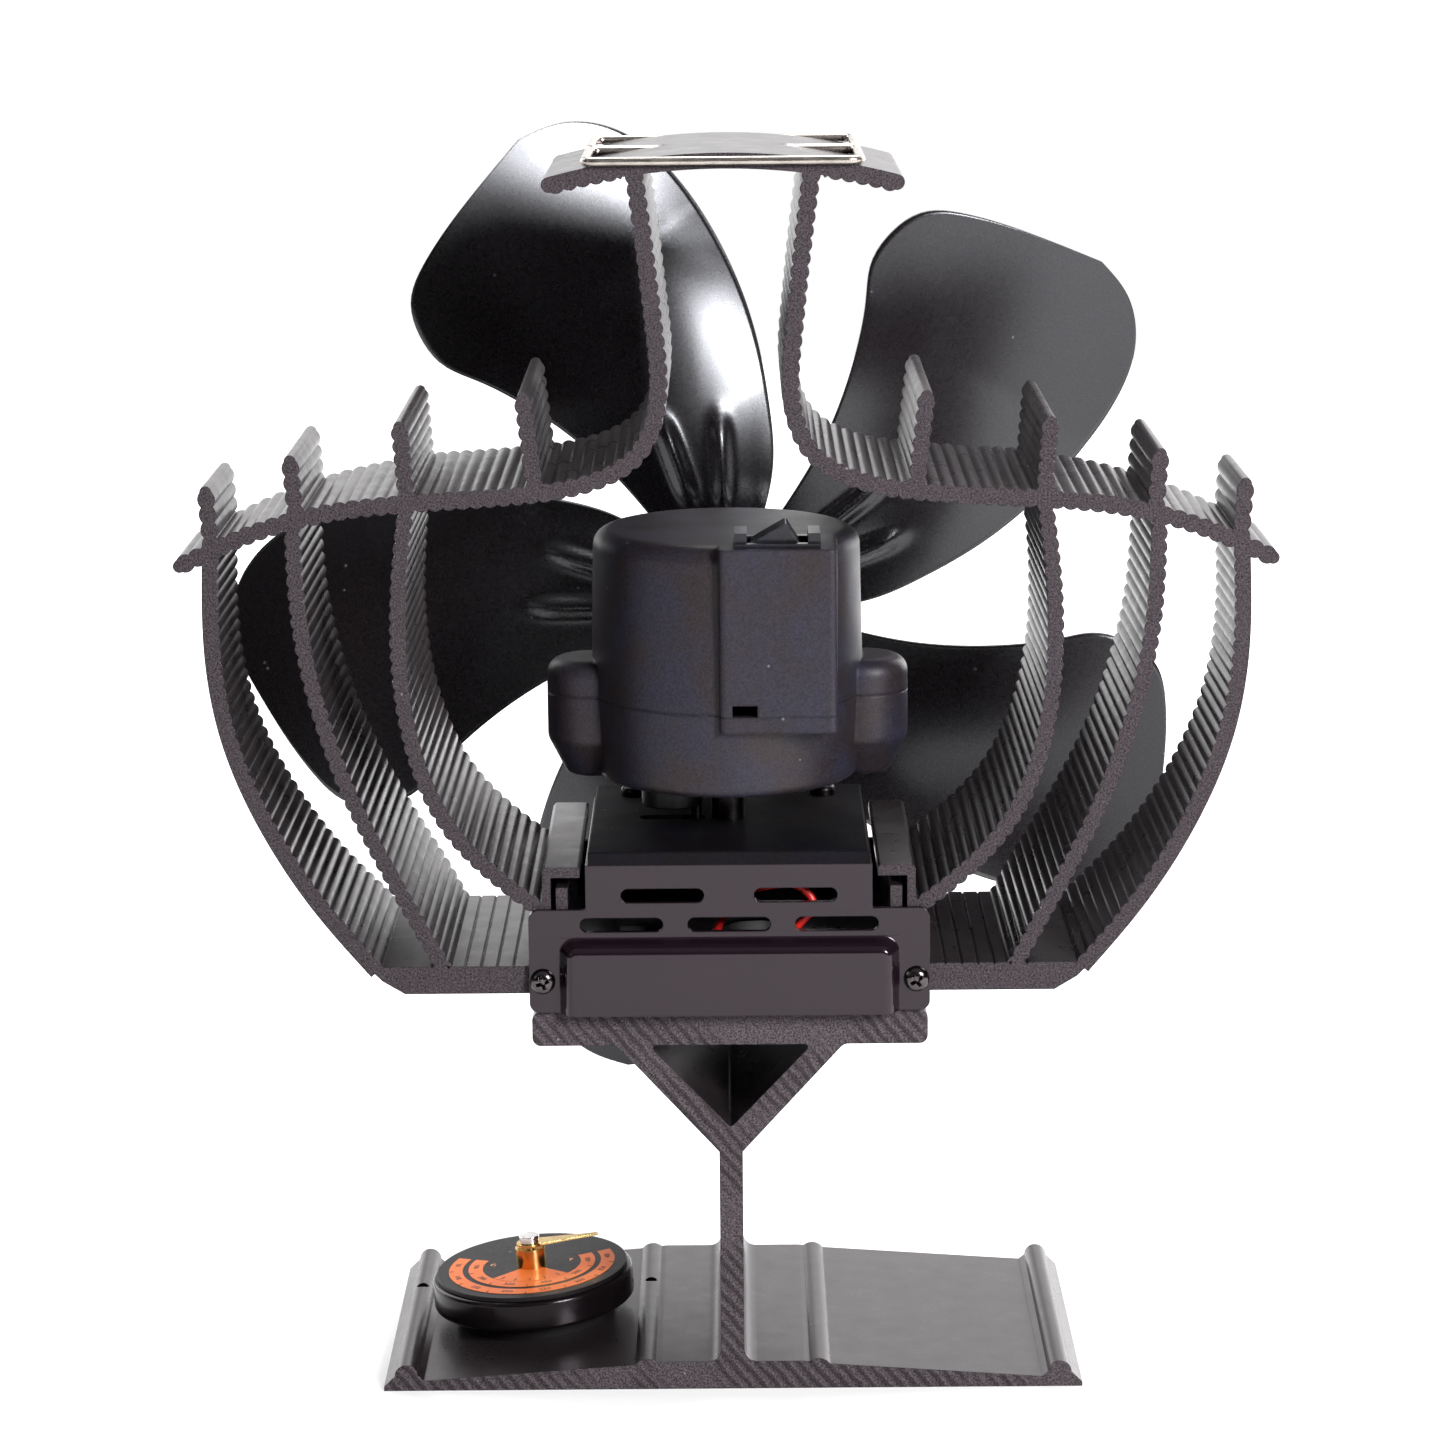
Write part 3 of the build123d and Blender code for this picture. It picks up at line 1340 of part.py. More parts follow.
lead_seat = radiator_bottom - sandwich_gap / 2
lead_start_y = radiator_mid - module_size / 2
lead_rise_y = radiator_near + lead_slot_depth / 2
terminal_face = terminal_x + terminal_length / 2
terminal_hole = cold_plate_top + terminal_height / 2
lead_points = {
    "red_lead": (
        (lead_slot_x - lead_spacing / 2, lead_start_y, lead_seat),
        (lead_slot_x - lead_spacing / 2, lead_rise_y, lead_seat),
        (lead_slot_x - lead_spacing / 2, lead_rise_y, 84.0),
        (16.0, lead_rise_y, 90.0),
        (12.0, -28.4, 94.0),
        (1.0, -27.6, 92.2),
        (-3.0, terminal_y - terminal_width / 4, terminal_hole),
        (terminal_face, terminal_y - terminal_width / 4, terminal_hole),
    ),
    "black_lead": (
        (lead_slot_x + lead_spacing / 2, lead_start_y, lead_seat),
        (lead_slot_x + lead_spacing / 2, lead_rise_y, lead_seat),
        (lead_slot_x + lead_spacing / 2, lead_rise_y, 82.5),
        (9.0, -25.6, 87.0),
        (0.0, -23.0, 86.0),
        (-4.0, terminal_y + terminal_width / 4, terminal_hole),
        (terminal_face, terminal_y + terminal_width / 4, terminal_hole),
    ),
}
for name, points in lead_points.items():
    spots = [Vector(*point) for point in points]
    radii = []
    for before, here, after in zip(spots, spots[1:], spots[2:]):
        turn = (here - before).get_angle(after - here)
        shorter = min((here - before).length, (after - here).length)
        radii.append(0.45 * shorter / tan(radians(turn / 2)))
    with BuildPart() as lead:
        with BuildLine() as lead_path:
            FilletPolyline(*spots, radius=radii)
        with BuildSketch(Plane(lead_path.line @ 0, z_dir=lead_path.line % 0)):
            Circle(lead_radius)
        sweep()
    lead.part.label = name
    export_step(lead.part, "parts/" + name + ".step")
    length = lead_path.wires()[0].length
    print(name, "bend radii", [round(radius, 1) for radius in radii], "length", round(length, 1))
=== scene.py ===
import json
from math import atan2, cos, degrees, hypot, pi, radians, sin

import bmesh
import bpy
import numpy as np
from mathutils import Matrix, Vector

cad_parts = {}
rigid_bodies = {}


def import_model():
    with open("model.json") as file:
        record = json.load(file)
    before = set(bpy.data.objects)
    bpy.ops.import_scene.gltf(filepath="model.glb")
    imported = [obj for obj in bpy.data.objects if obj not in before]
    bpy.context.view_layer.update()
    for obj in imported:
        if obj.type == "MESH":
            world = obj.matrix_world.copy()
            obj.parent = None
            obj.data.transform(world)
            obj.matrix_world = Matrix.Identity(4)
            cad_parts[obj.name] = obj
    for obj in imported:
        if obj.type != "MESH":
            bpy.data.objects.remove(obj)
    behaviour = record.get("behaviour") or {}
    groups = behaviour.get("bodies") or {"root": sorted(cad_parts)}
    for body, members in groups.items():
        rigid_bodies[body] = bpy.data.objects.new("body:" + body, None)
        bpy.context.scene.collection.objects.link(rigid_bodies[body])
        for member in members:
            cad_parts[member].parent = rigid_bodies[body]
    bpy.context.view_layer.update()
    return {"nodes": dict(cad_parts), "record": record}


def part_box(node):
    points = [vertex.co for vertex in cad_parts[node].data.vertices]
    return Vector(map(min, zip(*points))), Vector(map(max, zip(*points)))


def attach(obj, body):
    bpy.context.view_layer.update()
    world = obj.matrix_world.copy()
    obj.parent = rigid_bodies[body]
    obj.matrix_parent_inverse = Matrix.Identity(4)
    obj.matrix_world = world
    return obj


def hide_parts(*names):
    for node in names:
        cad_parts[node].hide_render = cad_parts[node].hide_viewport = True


# Looks of the stove fan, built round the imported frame. Sizes named here are in millimetres
# and angles in degrees, unless a comment says otherwise. MM turns sizes into the scene's metres.
MM = 0.001

for leftover in list(bpy.data.objects):
    bpy.data.objects.remove(leftover)
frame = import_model()
nodes = frame["nodes"]


def new_object(name, data):
    """A new object in the scene."""
    made = bpy.data.objects.new(name, data)
    bpy.context.scene.collection.objects.link(made)
    return made


# Camera, fitted to the photograph's outlines
CAMERA_SPOT = (1.5, -745.1, 275.4)
CAMERA_PITCH = 12.0
CAMERA_YAW = -0.19
CAMERA_ROLL = -0.51
CAMERA_LENS = 103.4
SENSOR_WIDTH = 36.0
CLIP_START = 10.0


def make_camera():
    """The photograph's camera."""
    pitch, yaw, roll = radians(CAMERA_PITCH), radians(CAMERA_YAW), radians(CAMERA_ROLL)
    ahead = Vector((sin(yaw) * cos(pitch), cos(yaw) * cos(pitch), -sin(pitch)))
    right = Vector((cos(yaw), -sin(yaw), 0))
    up = right.cross(ahead)
    right, up = cos(roll) * right + sin(roll) * up, cos(roll) * up - sin(roll) * right
    lens = bpy.data.cameras.new("camera")
    lens.lens = CAMERA_LENS
    lens.sensor_width = SENSOR_WIDTH
    lens.clip_start = CLIP_START * MM
    camera = new_object("camera", lens)
    turn = Matrix((right, up, -ahead)).transposed().to_4x4()
    camera.matrix_world = Matrix.Translation(Vector(CAMERA_SPOT) * MM) @ turn
    bpy.context.scene.camera = camera


# Radius of a speck of dust, as a share of its cell
SPECK_RADIUS = 0.13
# How squarely a face looks along Y where it begins to be an end face, and where it fully is one
END_FACE_LEAN = (0.9, 0.97)
BEVEL_SAMPLES = 4


class Wiring:
    """A node tree being wired up, with one short method per kind of node."""

    def __init__(self, tree):
        self.tree = tree

    def feed(self, socket, value):
        """Links an output to the socket, or writes a plain value in it."""
        if isinstance(value, bpy.types.NodeSocket):
            self.tree.links.new(value, socket)
        elif isinstance(value, tuple) and len(value) == 3 and socket.type == "RGBA":
            socket.default_value = (*value, 1)
        else:
            socket.default_value = value

    def node(self, kind, inputs, **settings):
        """Adds a node, with values or links for its inputs."""
        made = self.tree.nodes.new("ShaderNode" + kind)
        for name, value in settings.items():
            setattr(made, name, value)
        for key, value in inputs.items():
            self.feed(made.inputs[key], value)
        return made

    def maths(self, operation, first, second=0.0):
        """A sum, product or comparison of two numbers."""
        return self.node("Math", {0: first, 1: second}, operation=operation).outputs[0]

    def spread(self, value, low, high, to_low=0.0, to_high=1.0, **settings):
        """Maps a range onto another, clamped."""
        inputs = {"Value": value, "From Min": low, "From Max": high, "To Min": to_low, "To Max": to_high}
        return self.node("MapRange", inputs, **settings).outputs["Result"]

    def between(self, share, first, second):
        """A number between two others."""
        return self.node("Mix", {0: share, 2: first, 3: second}, data_type="FLOAT").outputs[0]

    def mix(self, share, first, second):
        """A colour between two others."""
        made = self.node("Mix", {}, data_type="RGBA")
        values = {"Factor_Float": share, "A_Color": first, "B_Color": second}
        for socket in made.inputs:
            if socket.identifier in values:
                self.feed(socket, values[socket.identifier])
        return next(socket for socket in made.outputs if socket.identifier == "Result_Color")


class Finish(Wiring):
    """A material and its wiring."""

    def __init__(self, name, **sockets):
        self.material = bpy.data.materials.new(name)
        self.material.use_nodes = True
        super().__init__(self.material.node_tree)
        self.shader = self.tree.nodes["Principled BSDF"]
        self.place = self.node("TexCoord", {}).outputs["Object"]
        for socket, value in sockets.items():
            self.set(socket, value)

    def set(self, socket, value):
        """Sets one of the shader's inputs, or links it."""
        self.feed(self.shader.inputs[socket.replace("_", " ")], value)

    def stretched(self, x, y, z, turn=(0, 0, 0)):
        """Object coordinates, scaled along each axis."""
        mapping = self.node("Mapping", {"Vector": self.place, "Scale": (x, y, z), "Rotation": turn})
        return mapping.outputs[0]

    def noise(self, size, detail=3.0, vector=None, roughness=0.55):
        """Noise with features of about this size in millimetres."""
        inputs = {"Vector": vector or self.place, "Scale": 1 / (size * MM), "Detail": detail,
                  "Roughness": roughness}
        return self.node("TexNoise", inputs).outputs["Fac"]

    def specks(self, size, share):
        """One inside small dots, zero elsewhere. About this share of the cells has a dot."""
        cells = self.node("TexVoronoi", {"Vector": self.place, "Scale": 1 / (size * MM)})
        near = self.maths("LESS_THAN", cells.outputs["Distance"], SPECK_RADIUS)
        chosen = self.node("TexWhiteNoise", {"Vector": cells.outputs["Position"]})
        return self.maths("MULTIPLY", near, self.maths("LESS_THAN", chosen.outputs["Value"], share))

    def dusted(self, colour, dust_colour, size, share, strength):
        """The colour with specks of dust on it."""
        dust = self.maths("MULTIPLY", self.specks(size, share), strength)
        return self.mix(dust, colour, dust_colour)

    def bump(self, *heights, rounding=0.0):
        """Bumps of (height socket, height in millimetres), over corners rounded by a bevel."""
        normal = None
        if rounding:
            normal = self.node("Bevel", {"Radius": rounding * MM}, samples=BEVEL_SAMPLES).outputs[0]
        for height, size in heights:
            inputs = {"Height": height, "Distance": size * MM, "Strength": 1.0}
            if normal:
                inputs["Normal"] = normal
            normal = self.node("Bump", inputs).outputs[0]
        self.set("Normal", normal)

    def end_face(self):
        """One on faces that look along Y, zero elsewhere."""
        normal = self.node("TexCoord", {}).outputs["Normal"]
        parts = self.node("SeparateXYZ", {0: normal})
        return self.spread(self.maths("ABSOLUTE", parts.outputs["Y"]), *END_FACE_LEAN)


def saw_waves(finish):
    """Slanting marks of a saw that come and go over the face."""
    slant = finish.stretched(0.72, 0.72, 0.72, (0, radians(40), 0))
    inputs = {"Vector": slant, "Scale": 230.0, "Distortion": 1.6, "Detail": 2.0, "Detail Scale": 2.0}
    waves = finish.node("TexWave", inputs, wave_type="BANDS", bands_direction="X").outputs["Fac"]
    return finish.maths("MULTIPLY", waves, finish.spread(finish.noise(14.0, 1), 0.25, 0.55))


def extrusion_finish(name, end_colour, saw_marks):
    """Black anodised extrusion: fine die lines along it, and blasted or sawn end faces."""
    finish = Finish(name, Metallic=0.0, IOR=1.55, Specular_Tint=(1.0, 0.88, 0.94))
    ends = finish.end_face()
    die_lines = finish.noise(0.35, 4, finish.stretched(1, 0.012, 1))
    sand = finish.noise(0.34, 3, roughness=0.7)
    side = finish.mix(finish.noise(9.0, 2), (0.012, 0.0095, 0.0105), (0.02, 0.016, 0.018))
    end = finish.mix(finish.spread(sand, 0.36, 0.68), (0.012, 0.0102, 0.0112), end_colour)
    marks = [(sand, 0.16)]
    if saw_marks:
        waves = saw_waves(finish)
        cuts = finish.maths("MULTIPLY", finish.spread(waves, 0.35, 0.8), 0.6)
        end = finish.mix(cuts, end, (0.01, 0.0085, 0.0095))
        marks = [(sand, 0.1), (waves, 0.14)]
    colour = finish.mix(ends, side, end)
    finish.set("Base_Color", finish.dusted(colour, (0.3, 0.29, 0.28), 1.6, 0.012, 0.5))
    rough = finish.spread(finish.noise(5.0, 3), 0.3, 0.7, 0.26, 0.33)
    finish.set("Roughness", finish.between(ends, rough, 0.62))
    finish.set("Specular_IOR_Level", finish.spread(ends, 0, 1, 0.5, 0.12))
    end_heights = [(finish.maths("MULTIPLY", height, ends), size) for height, size in marks]
    finish.bump((die_lines, 0.02), *end_heights, rounding=0.35)
    return finish.material


def sheet_finish(name, colour, low, high, grain, gloss=0.5, tint=(1.0, 0.9, 0.96)):
    """Black coated sheet: a satin gloss with a fine grain and a few specks of dust."""
    finish = Finish(name, IOR=1.52, Specular_IOR_Level=gloss, Specular_Tint=tint)
    cloudy = finish.mix(finish.noise(18.0, 3), colour, tuple(1.5 * part for part in colour))
    finish.set("Base_Color", finish.dusted(cloudy, (0.35, 0.34, 0.33), 2.4, 0.014, 0.35))
    finish.set("Roughness", finish.spread(finish.noise(0.9, 3), 0.3, 0.7, low, high))
    finish.bump((finish.noise(0.8, 2), grain), (finish.noise(12.0, 2), 0.015), rounding=0.25)
    return finish.material


def moulded_finish(name, colour, low, high, texture, rounding, gloss=0.5):
    """Moulded black plastic: spark-eroded texture, faint smudges that also carry a painted bluish sheen,
    and dust.
    """
    finish = Finish(name, IOR=1.48, Specular_IOR_Level=gloss, Specular_Tint=(1.0, 0.93, 0.98))
    # Painted sheen: this smudge noise blends a bluish sheen, a painted reflection, into the base colour,
    # and it also sets the roughness.
    smudge_and_sheen = finish.spread(finish.noise(11.0, 4), 0.35, 0.75)
    painted_bluish_sheen = tuple(part * scale for part, scale in zip(colour, (0.9, 1.3, 2.3)))
    pores = finish.spread(finish.noise(0.45, 2, roughness=0.7), 0.35, 0.65, 0.0, 0.6)
    tone = finish.mix(pores, finish.mix(smudge_and_sheen, colour, painted_bluish_sheen), (0.002, 0.002, 0.002))
    finish.set("Base_Color", finish.dusted(tone, (0.26, 0.25, 0.26), 1.9, 0.02, 0.4))
    finish.set("Roughness", finish.spread(smudge_and_sheen, 0, 1, low, high))
    finish.bump((finish.noise(0.3, 3), texture), (finish.noise(6.0, 2), 0.04), rounding=rounding)
    return finish.material


def metal_finish(name, colour, rough, brushed=(1, 1, 1), tarnish=0.3):
    """Bare metal with brushing along one axis and a little tarnish."""
    finish = Finish(name, Metallic=1.0)
    dark = tuple(part * (1 - tarnish) for part in colour)
    finish.set("Base_Color", finish.mix(finish.spread(finish.noise(2.2, 4), 0.3, 0.7), dark, colour))
    lines = finish.noise(0.25, 3, finish.stretched(*brushed))
    finish.set("Roughness", finish.spread(lines, 0.3, 0.7, rough * 0.7, rough * 1.3))
    finish.bump((lines, 0.01), rounding=0.12)
    return finish.material


def plain_finish(name, colour, rough, variation=0.15, grain=0.02, gloss=0.5):
    """A matt piece with small changes of tone and a grain."""
    finish = Finish(name, Specular_IOR_Level=gloss)
    dark = tuple(part * (1 - variation) for part in colour)
    finish.set("Base_Color", finish.mix(finish.noise(1.4, 4), dark, colour))
    finish.set("Roughness", finish.spread(finish.noise(0.8, 3), 0.3, 0.7, rough - 0.05, rough + 0.05))
    finish.bump((finish.noise(0.4, 3), grain), rounding=0.1)
    return finish.material


def make_materials():
    """The materials: one per slot of the record, and those of single nodes and of the dial's print."""
    return {
        "black_anodised": extrusion_finish("anodised_radiator", (0.085, 0.0695, 0.08), False),
        "stand_anodised": extrusion_finish("anodised_stand", (0.13, 0.107, 0.12), True),
        "blade_black": sheet_finish("blade_black", (0.0035, 0.0018, 0.0024), 0.26, 0.29, 0.0006, 0.66,
                                    (0.92, 0.94, 1.0)),
        "bracket_black": sheet_finish("bracket_black", (0.006, 0.003, 0.0052), 0.14, 0.18, 0.0006, 0.4),
        "platform_black": moulded_finish("platform_black", (0.0075, 0.0055, 0.0058), 0.5, 0.6, 0.004, 0.2,
                                         0.07),
        "bright_steel": metal_finish("bright_steel", (0.62, 0.6, 0.58), 0.24),
        "wire_steel": metal_finish("wire_steel", (0.5, 0.45, 0.41), 0.26, (0.05, 1, 1)),
        "screw_steel": metal_finish("screw_steel", (0.11, 0.095, 0.1), 0.16),
        "blackened_steel": metal_finish("blackened_steel", (0.035, 0.03, 0.032), 0.3),
        "black_nylon": plain_finish("black_nylon", (0.012, 0.01, 0.011), 0.45),
        "housing_black": moulded_finish("housing_black", (0.024, 0.0178, 0.019), 0.4, 0.5, 0.035, 0.9,
                                        0.32),
        "switch_black": moulded_finish("switch_black", (0.011, 0.011, 0.012), 0.26, 0.36, 0.012, 0.15),
        "ceramic_white": plain_finish("ceramic_white", (0.8, 0.8, 0.77), 0.55),
        "heat_pad": plain_finish("heat_pad", (0.4, 0.41, 0.43), 0.7),
        "insulation": plain_finish("insulation", (0.05, 0.046, 0.042), 0.7, 0.3),
        "motor_steel": metal_finish("motor_steel", (0.55, 0.55, 0.56), 0.28),
        "brass": metal_finish("brass", (0.75, 0.52, 0.2), 0.18, (1, 1, 0.1), 0.25),
        "bearing_bronze": metal_finish("bearing_bronze", (0.5, 0.33, 0.18), 0.4),
        "gauge_black": sheet_finish("gauge_black", (0.003, 0.0022, 0.0027), 0.16, 0.22, 0.0008, 0.22),
        "dial_print": sheet_finish("dial_face", (0.006, 0.005, 0.0055), 0.36, 0.44, 0.002, 0.16),
        "gauge_silver": metal_finish("gauge_silver", (0.85, 0.83, 0.82), 0.22),
        "magnet_dark": plain_finish("magnet_dark", (0.006, 0.005, 0.0055), 0.6, gloss=0.15),
        "lead_red": plain_finish("lead_red", (0.6, 0.015, 0.012), 0.4, 0.2, 0.01),
        "lead_black": plain_finish("lead_black", (0.012, 0.012, 0.012), 0.4, 0.3, 0.01),
        "white_nylon": plain_finish("white_nylon", (0.72, 0.7, 0.65), 0.5),
        "dial_orange": plain_finish("dial_orange", (0.8, 0.17, 0.03), 0.42, 0.12, 0.002, 0.25),
        "dial_ink": plain_finish("dial_ink", (0.02, 0.018, 0.016), 0.4, 0.2, 0.002),
        "dial_text": plain_finish("dial_text", (0.9, 0.42, 0.25), 0.4, 0.2, 0.002),
    }


# Nodes whose material isn't the one of their slot
OTHER_FINISHES = {
    "stand_heat_collector": "stand_anodised",
    "cover_screws": "screw_steel",
    "platform_screws": "blackened_steel",
    "clamp_screws": "screw_steel",
    "housing_screws": "blackened_steel",
    "swivel_platform": "platform_black",
    "swivel_post": "blackened_steel",
    "post_nut": "blackened_steel",
    "post_circlip": "blackened_steel",
    "crank_pin": "blackened_steel",
    "thrust_washer": "black_nylon",
    "swing_crank": "black_nylon",
    "lead_terminal": "black_nylon",
    "rear_bail": "wire_steel",
    "front_bail": "wire_steel",
}


def dress_nodes(materials):
    """Gives every CAD node its procedural material."""
    for entry in frame["record"]["subparts"]:
        node = nodes[entry["node"]]
        slot = OTHER_FINISHES.get(entry["node"], entry["material_slot"])
        node.data.materials.clear()
        node.data.materials.append(materials[slot])


def object_from(name, mesh, material, body, replaced=()):
    """Puts a finished mesh in the scene, riding on its body."""
    made = new_object(name, mesh)
    mesh.materials.clear()
    mesh.materials.append(material)
    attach(made, body)
    if replaced:
        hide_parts(*replaced)
    return made


def mesh_from(model, name, outward=True):
    """Ends a bmesh as a mesh, with its faces turned outwards unless told not to."""
    if outward:
        bmesh.ops.recalc_face_normals(model, faces=model.faces)
    mesh = bpy.data.meshes.new(name)
    model.to_mesh(mesh)
    model.free()
    return mesh


def evaluated_mesh(item):
    """The mesh of an object or text as its modifiers leave it."""
    depsgraph = bpy.context.evaluated_depsgraph_get()
    return bpy.data.meshes.new_from_object(item.evaluated_get(depsgraph))


def smooth(mesh, angle=35.0):
    """Smooth shading with sharp edges where faces turn more than the angle."""
    mesh.shade_smooth()
    mesh.set_sharp_from_angle(angle=radians(angle))


# Steps for each of a spline's points when its length is measured
SPLINE_FINENESS = 40


def spline_points(points, count):
    """Points along a natural cubic spline through the given ones, evenly spaced."""
    spots = np.array(points, float)
    if len(spots) == 2:
        shares = np.linspace(0, 1, count)[:, None]
        return spots[0] * (1 - shares) + spots[1] * shares
    knots = np.concatenate([[0], np.cumsum(np.linalg.norm(np.diff(spots, axis=0), axis=1))])
    steps = np.diff(knots)
    size = len(spots)
    system = np.zeros((size, size))
    right = np.zeros((size, spots.shape[1]))
    system[0, 0] = system[-1, -1] = 1
    for row in range(1, size - 1):
        system[row, row - 1] = steps[row - 1]
        system[row, row] = 2 * (steps[row - 1] + steps[row])
        system[row, row + 1] = steps[row]
        slopes = (spots[row + 1] - spots[row]) / steps[row] - (spots[row] - spots[row - 1]) / steps[row - 1]
        right[row] = 6 * slopes
    bends = np.linalg.solve(system, right)

    def at(values):
        index = np.clip(np.searchsorted(knots, values, side="right") - 1, 0, size - 2)
        step = steps[index][:, None]
        after = (values - knots[index])[:, None]
        before = step - after
        return (
            bends[index] * before**3 / (6 * step)
            + bends[index + 1] * after**3 / (6 * step)
            + (spots[index] / step - bends[index] * step / 6) * before
            + (spots[index + 1] / step - bends[index + 1] * step / 6) * after
        )

    fine = at(np.linspace(0, knots[-1], SPLINE_FINENESS * size))
    walked = np.concatenate([[0], np.cumsum(np.linalg.norm(np.diff(fine, axis=0), axis=1))])
    wanted = np.interp(np.linspace(0, walked[-1], count), walked, np.linspace(0, knots[-1], len(walked)))
    return at(wanted)


# Radiator section. Fins, branch and stubs are in shares of FIN_REACH, and of FIN_RISE above its underside.
FIN_REACH = 92.0
FIN_RISE = 80.0
OUTER_FIN = [(0.979, 0.996), (0.982, 0.79), (0.957, 0.59), (0.887, 0.384), (0.785, 0.194), (0.683, 0.05)]
MIDDLE_FIN = [(0.82, 1.071), (0.811, 0.828), (0.776, 0.628), (0.72, 0.44), (0.641, 0.25), (0.546, 0.045)]
INNER_FIN = [(0.603, 1.105), (0.622, 0.919), (0.624, 0.728), (0.598, 0.54), (0.533, 0.373), (0.446, 0.265),
             (0.351, 0.181)]
BRANCH = [(1.036, 0.97), (0.92, 1.03), (0.767, 1.081), (0.576, 1.105), (0.391, 1.119), (0.261, 1.144),
          (0.166, 1.206), (0.127, 1.315), (0.13, 1.465), (0.145, 1.628), (0.166, 1.822)]
STUB_ROOTS = [(0.974, 1.0), (0.812, 1.07), (0.602, 1.104), (0.359, 1.122)]
STUB_TIPS = [(0.982, 1.133), (0.821, 1.199), (0.613, 1.271), (0.38, 1.33)]
BAND_HALF = 1.0
BRANCH_HALF = 1.15
STUB_HALF = 1.05
ARCH_HALF = 1.35
ARCH_HALF_SPAN = 29.8
ARCH_END_HEIGHT = 218.0
ARCH_CROWN_HEIGHT = 221.9
ARCH_RIBS_FROM = 0.62
ARCH_OVERREACH = 0.1
ARCH_STEPS = 13
RIB_PITCH = 2.4
RIB_HEIGHT = 0.5
RIB_STEPS = 8
RIB_FLATNESS = 0.8
TIP_TURNS = range(75, -76, -15)
COLD_PLATE_THICKNESS = 5.0
COLD_PLATE_SIDE = [(57.8, 0), (61.8, 2.4), (64.4, 5.0)]
WALL_OUTER = 33.1
WALL_THICKNESS = 1.5
WALL_TOP = 97.8
WALL_CHAMFER = 0.6
HOOK_REACH = 26.4
HOOK_THICKNESS = 1.9
HOOK_CHAMFER = 0.4
INNER_RIB_OUTER = 30.7
INNER_RIB_THICKNESS = 2.1
INNER_RIB_TOP = 94.1
PLATE_GROOVES = 7
PLATE_GROOVE_FROM = 35.5
PLATE_GROOVE_PITCH = 2.9
GROOVE_SIZE = 0.35
GROOVE_MARGIN = 0.1
CORNER_CUT_FROM = 53.5
CORNER_CUT_SLOPE = 0.62
CORNER_CUT_OVERRUN = 1.2
CORNER_MARGIN = 5.0
# The leads' notch: its left and right side, and its depth
LEAD_SLOT = (7.5, 16.5, 5.0)
BAIL_SEAT_HEIGHT = 221.95
BAIL_SPACING = 2.8
BAIL_BORE_RADIUS = 0.85
BAIL_BORE_INNER = 7.0
BAIL_BORE_OUTER = 25.0
TUBE_SIDES = 32
RADIATOR_SHARP_ANGLE = 38.0
# How far cutters stand out of what they cut, and joined shapes reach into each other
MARGIN = 1.0


def mirrored(outline, side):
    """An outline of the right side as it is (side 1), or on the left side (side -1)."""
    return [(side * x, z) for x, z in outline]


def prism(outline, start, end):
    """A closed prism between two planes across Y, from an outline in X and Z."""
    model = bmesh.new()
    near = [model.verts.new((x * MM, start * MM, z * MM)) for x, z in outline]
    far = [model.verts.new((x * MM, end * MM, z * MM)) for x, z in outline]
    model.faces.new(near)
    model.faces.new(far[::-1])
    for index, spot in enumerate(near):
        after = (index + 1) % len(near)
        model.faces.new((near[after], spot, far[index], far[after]))
    return mesh_from(model, "prism")


def slab(outline, low, thickness):
    """A closed plate that lies across Z, from an outline in X and Y."""
    model = bmesh.new()
    face = model.faces.new([model.verts.new((x * MM, y * MM, low * MM)) for x, y in outline])
    raised = bmesh.ops.extrude_face_region(model, geom=[face])["geom"]
    top = [item for item in raised if isinstance(item, bmesh.types.BMVert)]
    bmesh.ops.translate(model, verts=top, vec=(0, 0, thickness * MM))
    return mesh_from(model, "slab")


def tube_mesh(radius, start, end):
    """A closed cylinder between two points."""
    start, end = Vector(start) * MM, Vector(end) * MM
    model = bmesh.new()
    turn = (end - start).to_track_quat("Z", "Y").to_matrix().to_4x4()
    bmesh.ops.create_cone(model, cap_ends=True, segments=TUBE_SIDES, radius1=radius * MM,
                          radius2=radius * MM, depth=(end - start).length,
                          matrix=Matrix.Translation((start + end) / 2) @ turn)
    return mesh_from(model, "tube", outward=False)


def combined(name, base, steps):
    """The base mesh with others joined to it or cut from it, one after the other."""
    body = new_object(name, base)
    for operation, mesh in steps:
        tool = new_object("tool", mesh)
        modifier = body.modifiers.new("combine", "BOOLEAN")
        modifier.operation = operation
        modifier.solver = "MANIFOLD"
        modifier.object = tool
        result = evaluated_mesh(body)
        body.modifiers.clear()
        body.data = result
        bpy.data.objects.remove(tool)
    mesh = body.data
    bpy.data.objects.remove(body)
    return mesh


def path_along(points):
    """Closely spaced points along a curve, the same number for each rib on it."""
    length = sum(hypot(b[0] - a[0], b[1] - a[1]) for a, b in zip(points, points[1:]))
    return spline_points(points, RIB_STEPS * max(2, round(length / RIB_PITCH)) + 1)


def round_tip(spot, way, half):
    """Points round the end of a band, or round its start where half is negative."""
    tip = []
    for turn in np.radians(TIP_TURNS):
        ahead, across = half * cos(turn), half * sin(turn)
        tip.append((spot[0] + ahead * way[0] - across * way[1], spot[1] + ahead * way[1] + across * way[0]))
    return tip


